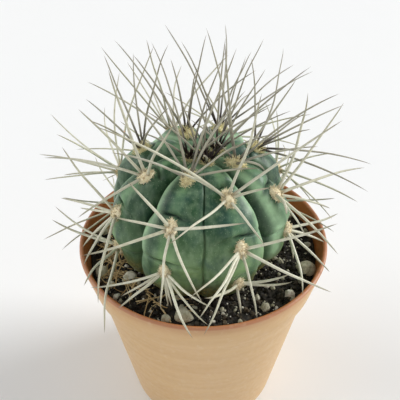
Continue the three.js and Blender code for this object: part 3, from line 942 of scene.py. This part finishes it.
def knocked(shape, centres, halves, random, jitter):
    """Copies of a ball at their centres, each stretched to its half width, turned and knocked about."""
    corners = corners_of(shape)
    number = len(centres)
    rough = corners[None] * (1 + jitter * (random.random((number, len(corners), 1)) - 0.5) * 2)
    stretched = rough * between(0.65, 1.15, random.random((number, 1, 3)))
    turns = np.linalg.qr(random.normal(size=(number, 3, 3)))[0]
    turns *= np.sign(np.linalg.det(turns))[:, None, None]
    turned = np.einsum("nij,nvj->nvi", turns, stretched)
    return centres[:, None] + turned * np.asarray(halves)[:, None, None]


def chipped(shape, centres, halves, random):
    """Copies of a ball, each cut by flat faces all round and pitted, like broken stone."""
    corners = corners_of(shape)
    number = len(centres)
    cuts = 11
    faces = unit(random.normal(size=(number, cuts, 3)))
    depths = between(0.62, 0.98, random.random((number, cuts)))
    facing = np.einsum("vj,nfj->nvf", corners, faces)
    edge_on = 0.05
    reach = np.where(facing > edge_on, depths[:, None] / np.maximum(facing, edge_on), 1.0).min(axis=-1)
    stones = corners[None] * np.minimum(reach, 1)[..., None]
    stones *= between(0.75, 1.25, random.random((number, 1, 3))) * np.asarray(halves)[:, None, None]
    placed = centres[:, None] + stones
    flat = placed.reshape(-1, 3)
    pits = 0.55 * lumps(flat, 1.6, 3) + 0.45 * lumps(flat + 30, 0.45, 2)
    return placed + 0.2 * pits.reshape(number, -1, 1) * stones


def cut_away(mesh, cutter):
    """The mesh with the cutter's shape taken out of it."""
    body, tool = (put_in_scene(part.name, part) for part in (mesh, cutter))
    boolean = body.modifiers.new("cut", "BOOLEAN")
    boolean.operation, boolean.solver, boolean.object = "DIFFERENCE", "EXACT", tool
    bpy.context.view_layer.update()
    made = bpy.data.meshes.new_from_object(body.evaluated_get(bpy.context.evaluated_depsgraph_get()))
    for part in (body, tool):
        bpy.data.objects.remove(part)
    return made


# The pieces.
class CactusPotSettings(bpy.types.PropertyGroup):
    segments: count("Segments", "Steps round the pot", 144)
    edge: length("Edge", "Rounding of the shoulder and the foot", 0.25)
    # The pale outside and the darker inside are one plastic: partly painted light outside and painted shade
    # inside.
    outside: colour("Outside", "Colour of the outer wall", "#d1ae7c")
    lip: colour("Lip", "Colour of the lip", "#b47d5a")
    inside: colour("Inside", "Colour of the inner wall", "#ba743f")
    flow: colour("Flow marks", "Tint of the flow marks", "#d9b891")
    dust: colour("Dust", "Colour of dried splashes", "#e2d2b4")


class CactusSoilSettings(bpy.types.PropertyGroup):
    steps: count("Steps", "Steps round the soil", 200)
    rings: count("Rings", "Steps from the wall to the middle", 64)
    crumbs: count("Crumbs", "Number of peat crumbs", 2000)
    crumb: length("Crumb", "Half width of the largest crumbs", 0.95)
    pebbles: count("Pebbles", "Number of small chips", 150)
    grit: count("Grit", "Number of white grains", 480)
    fibres: count("Fibres", "Number of dry fibres", 240)
    roughness: length("Roughness", "Height of the clods", 0.7)
    peat: colour("Peat", "Colour of damp peat", "#2a271f")
    peat_dark: colour("Wet peat", "Darkest peat", "#151311")
    peat_brown: colour("Brown peat", "Dry brown crumbs", "#574d3b")
    chip: colour("Perlite", "Colour of perlite", "#cfcbb2")
    chip_white: colour("White perlite", "Clean perlite", "#ecebe2")
    chip_grey: colour("Pumice", "Grey pumice", "#a3a392")
    chip_stain: colour("Stain", "Peat and algae on the chips", "#8d8a68")
    fibre: colour("Fibre", "Pale dry fibre", "#dcc797")
    fibre_dark: colour("Dark fibre", "Old root", "#a3824e")


class CactusStemSettings(bpy.types.PropertyGroup):
    columns: count("Columns", "Steps across each rib", 28)
    rows: count("Rows", "Steps from the crown to the foot", 300)
    furrow_line: length("Furrow line", "Depth of the fine line down each furrow", 0.45)
    slit: length("Slit", "Depth of the slit above each areole", 0.8)
    rim: length("Rim", "Height of the rims along the shoulders", 0.3)
    wrinkle: length("Wrinkle", "Height of the wrinkles near the foot", 0.12)
    unevenness: length("Unevenness", "Height of the soft bumps all over", 0.16)
    bloom: share("Bloom", "How much pale wax shows", 0.34)
    crest: colour("Crest", "Colour of the crests and chins", "#5e865b")
    flank: colour("Flank", "Colour of the broad faces", "#2f5836")
    # Painted highlight along the shoulders of the ribs.
    shoulder: colour("Shoulder", "Colour of the shoulders", "#a4c79d")
    # Painted shade: near black in the furrows, and laid over the faces in shadow.
    furrow: colour("Furrow", "Colour down in the furrows", "#122319")
    # Painted shade in the slits, the creases under the chins and the fine furrow lines.
    crease: colour("Crease", "Colour in the slits", "#12231a")
    blue_cast: colour("Blue cast", "Bluish clouds", "#2d524b")
    wax: colour("Wax", "Colour of the wax", "#a4c19a")
    young: colour("Young skin", "Skin of the crown", "#96b08c")
    # Painted light: a lighter green laid over the lower half of the stem.
    lower_painted_light: colour("Pale foot", "Skin that the chins keep in the shade", "#9dbb7e")
    cork: colour("Cork", "Corky foot", "#918b4b")
    cork_dark: colour("Dark cork", "Dark patches of the foot", "#665c30")


class CactusSpraySettings(bpy.types.PropertyGroup):
    rings: count("Rings", "Steps along each spine", 11)
    hairs: count("Hairs", "Hairs on each areole", 210)
    hair: length("Hair", "Length of the areole's hairs", 0.6)
    crown_wool: length("Crown wool", "Radius of the loose wool on the crown", 3.6)
    new_spines: count("New spines", "Short dark spines in each of the youngest areoles", 7)
    hair_girth: length("Hair girth", "Radius of a tuft of hairs, drawn coarse enough to show", 0.1)
    horn_root: colour("Root", "Root of an old spine", "#b8a481")
    horn_ivory: colour("Ivory", "Body of an old spine", "#e1e0cb")
    horn_grey: colour("Grey", "Weathered spine", "#b6b29b")
    horn_tip: colour("Tip", "Tips", "#817867")
    young_root: colour("Young root", "Root of a young spine", "#2a1815")
    young_grey: colour("Young body", "Body of a young spine", "#a09c8b")
    felt_cream: colour("Cream wool", "Fresh wool", "#fff5d6")
    felt_tan: colour("Tan wool", "Older wool", "#fff1cb")
    felt_brown: colour("Brown wool", "Dirty wool", "#b9935c")
    felt_young: colour("Young wool", "Wool of the crown", "#ece79f")


class CactusStageSettings(bpy.types.PropertyGroup):
    distance: length("Distance", "From the camera to the middle of the rim", 135)
    elevation: degrees("Elevation", "How far the camera looks down", 40.7257)
    tilt: degrees("Tilt", "How far the view is raised above the rim", 3.505)
    pan: degrees("Pan", "How far the view is turned to the left", 0.358)
    lens: FloatProperty(
        name="Lens", description="Focal length for a 36 mm sensor", default=45.52, unit="CAMERA"
    )
    walls: brightness("Walls", "Brightness of the room at the horizon", 1.0)
    ceiling: brightness("Ceiling", "Brightness of the room overhead", 0.3)
    key: brightness("Key", "Strength of the softbox on the right", 2.8)
    fill: brightness("Fill", "Strength of the softbox on the left", 1.2)
    floor_size: length("Floor", "Width of the floor", 4000)
    floor: colour("Floor colour", "Pale board", "#f1f2f2")
    floor_shade: colour("Floor shade", "Faint clouds on the board", "#d9d6d0")


class CACTUS_OT_pot(bpy.types.Operator):
    """Makes the nursery pot: a tapered wall under a wider band, with drain holes"""

    bl_idname = "cactus.pot"
    bl_label = "Pot"

    def outline(self):
        """Up the outside from the middle of the foot, over the round lip and down the inside."""
        step = POT.shoulder - POT.shoulder_drop
        points = [
            (0, 0),
            (POT.foot_radius - POT.foot_chamfer, 0),
            (POT.foot_radius, POT.foot_chamfer),
            (POT.shoulder_radius, POT.shoulder - POT.shoulder_drop / 2),
            (POT.band_foot_radius, POT.shoulder),
        ]
        for angle in np.linspace(0, math.pi, 9):
            radius = POT.rim_radius - POT.lip_radius + POT.lip_radius * math.cos(angle)
            points.append((radius, POT.height - POT.lip_radius + POT.lip_radius * math.sin(angle)))
        points += [
            (POT.band_foot_radius - POT.wall, POT.shoulder),
            (inner_radius(step), step),
            (inner_radius(POT.floor), POT.floor),
            (0, POT.floor),
        ]
        return points

    def wall(self, sizes):
        """The plain shell, with every edge that runs round it below the lip a little rounded."""
        bm = spun(self.outline(), sizes.segments)
        sharper = radians(360 / sizes.segments) * 1.5
        rings = [
            edge for edge in bm.edges
            if len(edge.link_faces) == 2 and edge.calc_face_angle() > sharper
            and edge.verts[0].co.z < POT.height - 2 * POT.lip_radius
            and abs(edge.verts[0].co.z - edge.verts[1].co.z) < MERGE
        ]
        bmesh.ops.bevel(
            bm, geom=rings, offset=sizes.edge / MM, offset_type="OFFSET", segments=3, profile=0.5,
            affect="EDGES", material=-1,
        )
        return shape_from(bm, "pot_wall")

    def drain_holes(self):
        bm = bmesh.new()
        for hole in range(POT.drain_holes):
            angle = hole / POT.drain_holes * TURN
            x, y = POT.drain_circle * math.cos(angle), POT.drain_circle * math.sin(angle)
            bmesh.ops.create_cone(
                bm, cap_ends=True, segments=32, radius1=POT.drain_radius, radius2=POT.drain_radius, depth=6,
                matrix=Matrix.Translation((x, y, 0)),
            )
        return shape_from(bm, "drain_holes")

    def execute(self, context):
        sizes = context.scene.cactus_pot
        mesh = cut_away(self.wall(sizes), self.drain_holes())
        corners = corners_of(mesh)
        z, radius = corners[:, 2], np.hypot(corners[:, 0], corners[:, 1])
        lip = 0.5 * smoothstep(z, POT.height - 1.3, POT.height - 0.2)
        inner = (radius < outer_radius(z) - 0.55 * POT.wall) & (z > POT.floor / 2)
        set_notes(mesh, {"inside": np.maximum(lip, inner)})
        mesh.transform(Matrix.Scale(MM, 4))
        mesh.shade_smooth()
        mesh.set_sharp_from_angle(angle=radians(28))
        set_piece(mesh, "nursery_pot", [made_of(moulded_polypropylene, sizes)], "pot_plastic", "pot")
        return {"FINISHED"}


class CACTUS_OT_soil(bpy.types.Operator):
    """Makes the soil: a plug of peat with crumbs, perlite, grit and dry fibres on it"""

    bl_idname = "cactus.soil"
    bl_label = "Soil"

    def plug(self, sizes):
        """The body of soil up to its rough surface."""
        base, shoulder = POT.floor + CLEARANCE, POT.shoulder + CLEARANCE
        step = POT.shoulder - POT.shoulder_drop
        edges = [inner_radius(z) - CLEARANCE for z in (POT.floor, step, shoulder, SOIL.top)]
        outline = [(0, base), (edges[0], base), (edges[1], step), (edges[2], shoulder)]
        outline += [(radius, SOIL.top) for radius in np.linspace(edges[3], 0, sizes.rings)]
        mesh = shape_from(spun(outline, sizes.steps), "soil_plug")
        corners = corners_of(mesh)
        top = corners[:, 2] > SOIL.top - 0.01
        corners[top, 2] = self.height_at(corners[top, 0], corners[top, 1], sizes)
        self.sink_under_stem(corners, top)
        move_corners(mesh, corners)
        set_notes(mesh, {"tone": np.clip(0.35 + 0.3 * lumps(corners, 3.0), 0, 1)})
        mesh.shade_smooth()
        return mesh

    def height_at(self, x, y, sizes):
        """The solid's surface, with clods on it."""
        points = np.stack([x, y, np.zeros_like(x)], axis=-1)
        clods = 0.7 * lumps(points, 2.6, 4) + 0.5 * lumps(points + 40, 0.9, 2)
        return soil_height(x, y) + sizes.roughness / MM * clods

    def sink_under_stem(self, corners, top):
        """Lowers the surface wherever the stem stands in it."""
        for _ in range(60):
            inside = top & (skin_clearance(to_plant(corners)) < 0.25)
            if not inside.any():
                return
            corners[inside, 2] -= 0.5

    def scattered(self, number, random, reach, sizes, sink):
        """Points on the soil outside the stem, spread evenly."""
        radius = reach * np.sqrt(random.random(number * 3))
        angle = TURN * random.random(number * 3)
        x, y = radius * np.cos(angle), radius * np.sin(angle)
        points = np.stack([x, y, self.height_at(x, y, sizes) + sink], axis=-1)
        return points[skin_clearance(to_plant(points)) > 0.2][:number]

    def crumbs(self, sizes, random, reach):
        ball = grain_shape(1)
        points = self.scattered(sizes.crumbs, random, reach, sizes, 0.05)
        halves = sizes.crumb / MM * between(0.35, 1, random.random(len(points)) ** 1.8)
        tones = random.random((len(points), 1)) ** 1.6
        crumbs = knocked(ball, points, halves, random, 0.28)
        return joined("peat_crumbs", [(ball, crumbs, {"tone": tones}, False)])

    def perlite(self, sizes, random, reach):
        """The solid's large chips, smaller ones between them, and white grains."""
        ball, stone, small_stone = grain_shape(1), grain_shape(3), grain_shape(2)
        chips = chipped(stone, chip_centres(), CHIPS[:, 2] * 1.08, random)
        tones = between(0.2, 0.8, random.random((len(chips), 1)))
        points = self.scattered(sizes.pebbles, random, reach, sizes, 0.1)
        small = chipped(small_stone, points, between(0.35, 1.0, random.random(len(points)) ** 1.6), random)
        small_tones = random.random((len(points), 1)) ** 1.4
        points = self.scattered(sizes.grit, random, reach, sizes, 0.2)
        grit = knocked(ball, points, between(0.12, 0.34, random.random(len(points)) ** 2), random, 0.25)
        grit_tones = between(0.4, 1.0, random.random((len(points), 1)))
        return joined("perlite", [
            (stone, chips, {"tone": tones}, True),
            (small_stone, small, {"tone": small_tones}, True),
            (ball, grit, {"tone": grit_tones}, False),
        ])

    def fibres(self, sizes, random, reach):
        """Thin fibres that lie on the soil in loose arcs, most of them to the left of the stem."""
        shape = needle_shape(5, 7)
        t = corners_of(shape)[None, :, 2]
        points = self.scattered(sizes.fibres * 4, random, reach - 2, sizes, 0.0)
        from_heap = np.hypot(points[:, 0] - SOIL.heap[0], points[:, 1] - SOIL.heap[1])
        nearest = np.argsort(from_heap + SOIL.heap_spread * random.random(len(points)))
        roots = points[nearest[:sizes.fibres]]
        heading = TURN * random.random((len(roots), 1))
        curl = 1.6 * (random.random((len(roots), 1)) - 0.5)
        long = between(3, 11, random.random((len(roots), 1)) ** 1.4)
        angle = heading + curl * (t - 0.5)
        x = roots[:, :1] + long * (t - 0.5) * np.cos(angle)
        y = roots[:, 1:2] + long * (t - 0.5) * np.sin(angle)
        inwards = np.minimum(1, (reach - 0.5) / np.maximum(np.hypot(x, y), 1))
        x, y = x * inwards, y * inwards
        z = soil_height(x, y) + 0.55 + 0.5 * np.sin(math.pi * t) * random.random((len(roots), 1))
        centres = np.stack([x, y, z], axis=-1)
        girths = between(0.1, 0.26, random.random((len(roots), 1)) ** 2) * (1 - 0.5 * t)
        directions = np.concatenate([np.cos(heading), np.sin(heading), np.zeros_like(heading)], axis=1)
        places = bent(shape, centres, girths, directions)
        kept = skin_clearance(to_plant(centres)).min(axis=1) > 0.15
        tones = random.random((kept.sum(), 1)) ** 0.6
        return joined("fibres", [(shape, places[kept], {"tone": tones}, True)])

    def execute(self, context):
        sizes = context.scene.cactus_soil
        random = np.random.default_rng(SOIL.seed)
        reach = float(inner_radius(SOIL.top)) - 1.2
        peat = made_of(damp_peat, sizes)
        set_piece(self.plug(sizes), "soil_bed", [peat], "peat_and_perlite", "soil")
        set_piece(self.crumbs(sizes, random, reach), "peat_crumbs", [peat], "peat_and_perlite")
        chips = self.perlite(sizes, random, reach)
        set_piece(chips, "perlite_chips", [made_of(expanded_perlite, sizes)] * 3, "peat_and_perlite")
        straws = self.fibres(sizes, random, reach)
        set_piece(straws, "dry_fibres", [made_of(dry_fibre, sizes)], "peat_and_perlite")
        return {"FINISHED"}


class CACTUS_OT_stem(bpy.types.Operator):
    """Makes the stem: broad ribs with chins, creases, furrow lines and a corky foot"""

    bl_idname = "cactus.stem"
    bl_label = "Stem"

    def laid_out(self, ball, per_rib):
        """Where each corner of a ball lies on the skin, and how deep its furrow and its crease are."""
        columns = STEM.ribs * per_rib
        down = np.arctan2(np.hypot(ball[:, 0], ball[:, 1]), ball[:, 2]) / math.pi
        column = np.round(np.arctan2(ball[:, 1], ball[:, 0]) / TURN * columns).astype(int) % columns
        rib = column // per_rib
        across = np.sin(((column % per_rib) / per_rib * 2 - 1) * math.pi / 2)
        side = np.abs(across)
        polar = radians(STEM.last_polar) * np.minimum(down / SKIN.share, 1)
        along = along_at(polar)
        place = place_between(rib, along)
        fade = skin_fade(polar)
        walled = STEM.furrow_depth[np.where(across > 0, rib, rib - 1) % STEM.ribs] / STEM.furrow_depth.max()
        nick = np.exp(-(((place - crease_place(across)) / STEM.crease_width) ** 2))
        return SimpleNamespace(
            rib=rib, across=across, side=side, polar=polar, along=along, place=place, fade=fade,
            walled=walled, shallow=1 - smoothstep(walled, 0.4, 0.9), nick=nick * (1 - side**2) * fade,
            furrow=np.exp(-(((1 - side) / SKIN.furrow_width) ** 2)) * fade,
            root=np.clip((down - SKIN.share) / (1 - SKIN.share), 0, 1)[:, None],
        )

    def slit(self, at):
        """A narrow slit in each crease, a little to one side of the rib's middle."""
        step = np.floor(at.along - AREOLE.first_place[at.rib]) + 1
        offset = at.across - 0.25 * np.sin(2.6 * at.rib + 2.1 * step + 1.2)
        middle = crease_place(at.across) + 0.02 + 0.05 * offset
        depth = np.exp(-(((at.place - middle) / SKIN.slit_width) ** 2) - (offset / SKIN.slit_reach) ** 4)
        return depth * smoothstep(at.polar, *np.radians(STEM.crown_fade))

    def rise(self, at, points, bumps, slit, sizes):
        """How far the fine relief stands off the plain skin, in millimetres."""
        rim = np.exp(-(((at.side - SKIN.rim_at) / SKIN.rim_width) ** 2)) * smoothstep(at.walled, 0.4, 1)
        filled = 0.65 * STEM.radius * STEM.furrow_depth.min() * at.side ** STEM.shoulder_power[at.rib]
        wrinkles = np.sin(np.degrees(at.polar) * 0.8 + 5.0 * lumps(points, 6.0))
        wrinkles = wrinkles * smoothstep(at.polar, *np.radians(SKIN.wrinkled))
        relief = (
            sizes.unevenness * bumps * at.fade + sizes.wrinkle * wrinkles
            - sizes.furrow_line * at.furrow - sizes.slit * slit + sizes.rim * (rim * at.fade)
        )
        return relief / MM + 0.5 * STEM.crease * at.nick + filled * at.shallow * at.fade

    def notes(self, at, above_soil, slit):
        """What the skin's material reads: where it gets painted shade, painted highlights and painted light,
        how young it is, and where the foot is corky.
        """
        low = smoothstep(-above_soil, -24, -9)
        chin = smoothstep((at.place / STEM.crease_at).clip(0, 1), 0.1, 0.5)
        # Painted highlight: a pale line along one shoulder of each rib.
        pale_at, pale_width, pale_low = SKIN.painted_highlight_line[at.rib].T
        pale = np.exp(-(((at.across - pale_at) / pale_width) ** 2))
        # Painted shade on the left and the right face of each rib, set rib by rib.
        painted_shade = np.where(at.across > 0, SKIN.painted_shade[at.rib, 1], SKIN.painted_shade[at.rib, 0])
        painted_shade = painted_shade * smoothstep(at.side, 0.12, 0.45)
        return {
            # How far towards the furrow, which the material fills with painted shade; shallow furrows stop
            # short of the darkest shade.
            "across": np.minimum(at.side, 1 - 0.07 * at.shallow) * at.fade,
            "pale": pale * at.fade * between(1, pale_low, low),
            "painted_shade": painted_shade * at.fade * (1 - 0.4 * low),
            # Painted shade in the slits and creases and along the furrow lines.
            "crease": np.maximum(slit, 0.35 * at.nick) + between(0.6, 0.42, at.shallow) * at.furrow,
            "chin": np.where(at.place < STEM.crease_at, chin * (1 - smoothstep(at.side, 0.05, 0.3)), 0),
            "youth": 1 - smoothstep(at.along, 0.1, 0.9),
            # Painted light over the lower half of the stem: less of it on the faces with painted shade, and
            # it fades out just above the soil.
            "low": low * (1 - 0.85 * smoothstep(-above_soil, -13, -5)) * (1 - 1.1 * painted_shade),
            "foot": smoothstep(-above_soil, -10, -3.5),
        }

    def execute(self, context):
        sizes = context.scene.cactus_stem
        bm = bmesh.new()
        bmesh.ops.create_uvsphere(
            bm, u_segments=STEM.ribs * sizes.columns, v_segments=sizes.rows, radius=1
        )
        mesh = shape_from(bm, "stem_skin")
        at = self.laid_out(corners_of(mesh), sizes.columns)
        plain = skin(at.rib, at.across, at.polar)
        bumps = lumps(plain, 5.0, 3)
        slit = self.slit(at)
        normal = skin_normal(azimuth_on(at.rib, at.across, at.along), at.polar)
        points = plain + normal * self.rise(at, plain, bumps, slit, sizes)[:, None]
        points = points * (1 - at.root) + np.array([0, 0, STEM.root_tip]) * at.root
        world = to_world(points)
        move_corners(mesh, world)
        set_notes(mesh, self.notes(at, world[:, 2] - SOIL.top - 1.2 * bumps, slit))
        mesh.shade_smooth()
        set_piece(mesh, "stem_skin", [made_of(waxy_epidermis, sizes)], "cactus_skin", "stem")
        return {"FINISHED"}


class CACTUS_OT_sprays(bpy.types.Operator):
    """Makes the areoles: each is a felt pad with wool and its own spray of spines"""

    bl_idname = "cactus.sprays"
    bl_label = "Sprays"

    def in_frame(self, place, local):
        """Points given across, up and out of an areole, in the plant's frame."""
        return place.centre + local @ np.array([place.across, place.up, place.out])

    def pad(self, place, shape, youth):
        """The matted middle of the pad, lumpy and a little sunk in the skin."""
        ball = corners_of(shape)
        lumpy = ball * (0.92 + 0.18 * lumps(ball + place.centre, 0.7, 3))[:, None]
        local = lumpy * AREOLE.pad_half * place.size * (0.9, 1, 1)
        mottled = 0.5 + 0.5 * lumps(ball, 0.35, 2).clip(-1, 1)
        return self.in_frame(place, local)[None], {"tone": 0.35 + 0.4 * mottled, "youth": youth}

    def wool(self, place, shape, sizes, random, youth):
        """Hairs that stand out of the pad all round, matted and bent. The crown's lie loose."""
        t = corners_of(shape)[None, :, 2]
        number = int(sizes.hairs * (1 + 0.6 * youth))
        facing = unit(random.normal(size=(number * 2, 3)))
        facing = facing[facing[:, 2] > -0.25][:number]
        half = AREOLE.pad_half * place.size * (0.86, 1, 1)
        roots = facing * half * 0.92
        if place.key is None:
            roots *= sizes.crown_wool / MM / half[1] * random.random((number, 1)) ** 0.5 * (1, 1, 0.3)
        heading = unit(unit(facing / half) + 0.45 * random.normal(size=facing.shape))
        bend = unit(random.normal(size=facing.shape))
        long = sizes.hair / MM * between(0.55, 1, place.size)
        long = long * between(0.5, 1.15, random.random((len(roots), 1))) * (1 + 0.9 * youth)
        reach = (long * t)[..., None]
        centres = roots[:, None] + heading[:, None] * reach + bend[:, None] * reach * 0.4 * t[..., None]
        girths = sizes.hair_girth / MM * (1 - 0.7 * t) * between(0.7, 1.2, random.random((len(roots), 1)))
        corners = self.in_frame(place, bent(shape, centres, girths, heading))
        return corners, {"tone": random.random((len(roots), 1)), "youth": youth}

    def spines(self, found, shape, random, youth, slender):
        """Round spines on their lines: swollen at the root, a little wavy, and drawn to a point."""
        t = corners_of(shape)[:, 2]
        number = len(found)
        centres = np.stack([spine_line(spine, t) for spine in found])
        chords = unit(np.stack([spine_line(spine, 1.0) - spine_line(spine, 0.0) for spine in found]))
        waver = 0.012 * np.array([spine.length for spine in found])[:, None] * np.sin(math.pi * t)
        phase = TURN * random.random((number, 1))
        wave = waver * np.sin(TURN * t * between(0.6, 1.4, random.random((number, 1))) + phase)
        centres = centres + square_to(chords)[:, None] * wave[..., None]
        stout = between(0.88, 1.08, random.random((number, 1))) * between(0.88, 0.62, slender)
        taper = (1 - 0.42 * t) * (1 - t**5) ** 0.6 + 0.2 * np.exp(-t / 0.03) + 0.015
        girths = SPINE.radius * stout * taper[None]
        notes = {"reach": t[None], "tone": random.random((number, 1)), "youth": youth}
        return bent(shape, centres, girths, chords), notes

    def new_spines(self, place, shape, sizes, random):
        """Spines that have just come out of the wool: short, stout and dark."""
        t = corners_of(shape)[None, :, 2]
        heading = unit(random.normal(size=(sizes.new_spines, 3)) * (0.55, 0.55, 0) + (0, 0, 1))
        long = between(2.2, 5.5, random.random((len(heading), 1)))
        centres = heading[:, None] * (0.5 + (long * t)[..., None])
        girths = between(0.26, 0.38, random.random((len(heading), 1))) * (1 - t**2) ** 0.8 + 0.01
        corners = self.in_frame(place, bent(shape, centres, girths, heading))
        return corners, {"reach": 0.16 * t, "tone": random.random((len(heading), 1)), "youth": 1.0}

    def execute(self, context):
        sizes = context.scene.cactus_sprays
        random = np.random.default_rng(SPINE.wool_seed)
        felt, horn = made_of(areole_felt, sizes), made_of(spine_horn, sizes)
        pad, hair, needle = pad_shape(), needle_shape(3, 2), needle_shape(8, sizes.rings)
        places = all_areoles()
        spines = place_spines(places)
        for place in places:
            # Sprays off the front ribs are drawn younger, so that their spines come out darker: painted
            # shade.
            behind = 0.0 if place.key is None or place.key[0] in AREOLE.front_ribs else AREOLE.back_shade_as_youth
            youth = float(1 - smoothstep(place.along, 0.5 + behind, 1.6 + behind))
            slender = max(youth, behind * 0.9)
            own = [spine for spine in spines if spine.place is place]
            made = [
                (pad, felt, self.pad(place, pad, youth)),
                (hair, felt, self.wool(place, hair, sizes, random, youth)),
                (needle, horn, self.spines(own, needle, random, youth, slender)),
            ]
            if place.along < AREOLE.sprouting:
                made.append((needle, horn, self.new_spines(place, needle, sizes, random)))
            parts = [(shape, to_world(corners), notes, True) for shape, _, (corners, notes) in made]
            finishes = [finish for _, finish, _ in made]
            set_piece(joined("spray", parts), f"spray_{place.name}", finishes, "spines_and_felt", place.node)
        return {"FINISHED"}


class CACTUS_OT_stage(bpy.types.Operator):
    """Makes the floor, the light and the camera"""

    bl_idname = "cactus.stage"
    bl_label = "Stage"

    def camera(self, sizes):
        """Looks down at the rim, then turned a little so that the rim isn't in the middle of the view."""
        down = sizes.elevation
        target = Vector((0, 0, POT.height * MM))
        place = target + sizes.distance * Vector((0, -math.cos(down), math.sin(down)))
        turn = (
            Matrix.Rotation(math.pi / 2 - down, 3, "X") @ Matrix.Rotation(sizes.tilt, 3, "X")
            @ Matrix.Rotation(sizes.pan, 3, "Y")
        )
        data = bpy.data.cameras.new("camera")
        data.lens, data.sensor_width = sizes.lens, 36
        data.clip_start, data.clip_end = 0.005, 20
        camera = put_in_scene("camera", data)
        camera.matrix_world = Matrix.Translation(place) @ turn.to_4x4()
        return camera

    def softbox(self, name, strength, width, toward):
        """A soft light from far off, as wide as its angle."""
        light = bpy.data.lights.new(name, "SUN")
        light.energy, light.angle = strength, radians(width)
        lamp = put_in_scene(name, light)
        lamp.matrix_world = Vector(toward).to_track_quat("Z", "Y").to_matrix().to_4x4()

    def surroundings(self, sizes):
        """White walls all round that get dimmer towards the ceiling."""
        world = bpy.data.worlds.new("studio")
        add = emptied(world)
        fall = add("difference", add("upwards", add("place")), 1.0)
        strength = add("window", add("product", fall, fall), 0, 1, sizes.ceiling, sizes.walls)
        add("room", add("light", (1, 1, 1, 1), strength))
        return world

    def floor(self, sizes):
        bm = bmesh.new()
        bmesh.ops.create_grid(bm, x_segments=8, y_segments=8, size=sizes.floor_size / 2)
        board = shape_from(bm, "floor")
        board.materials.append(made_of(painted_board, sizes))
        return put_in_scene("floor", board)

    def execute(self, context):
        scene = context.scene
        sizes = scene.cactus_stage
        self.floor(sizes)
        scene.world = self.surroundings(sizes)
        self.softbox("right_softbox", sizes.key, 30, (0.84, 0.22, 0.5))
        self.softbox("left_softbox", sizes.fill, 50, (-0.82, 0.1, 0.55))
        scene.view_settings.view_transform = "Standard"
        scene.camera = self.camera(sizes)
        return {"FINISHED"}


class CACTUS_PT_parts(bpy.types.Panel):
    """Lists the pieces and their settings"""

    bl_label = "Chin cactus"
    bl_space_type = "VIEW_3D"
    bl_region_type = "UI"
    bl_category = "Cactus"

    def draw(self, context):
        for operator, name, _ in PIECES:
            box = self.layout.box()
            box.operator(operator.bl_idname)
            settings = getattr(context.scene, name)
            for size in settings.bl_rna.properties.keys():
                if size not in ("rna_type", "name"):
                    box.prop(settings, size)


# Each piece's operator, and its settings under their name in the scene.
PIECES = (
    (CACTUS_OT_pot, "cactus_pot", CactusPotSettings),
    (CACTUS_OT_soil, "cactus_soil", CactusSoilSettings),
    (CACTUS_OT_stem, "cactus_stem", CactusStemSettings),
    (CACTUS_OT_sprays, "cactus_sprays", CactusSpraySettings),
    (CACTUS_OT_stage, "cactus_stage", CactusStageSettings),
)


def register():
    for operator, name, settings in PIECES:
        bpy.utils.register_class(settings)
        setattr(bpy.types.Scene, name, PointerProperty(type=settings))
        bpy.utils.register_class(operator)
    bpy.utils.register_class(CACTUS_PT_parts)


def unregister():
    bpy.utils.unregister_class(CACTUS_PT_parts)
    for operator, name, settings in reversed(PIECES):
        bpy.utils.unregister_class(operator)
        delattr(bpy.types.Scene, name)
        bpy.utils.unregister_class(settings)


def main():
    register()
    bpy.ops.cactus.pot()
    bpy.ops.cactus.soil()
    bpy.ops.cactus.stem()
    bpy.ops.cactus.sprays()
    bpy.ops.cactus.stage()


if __name__ == "__main__":
    main()
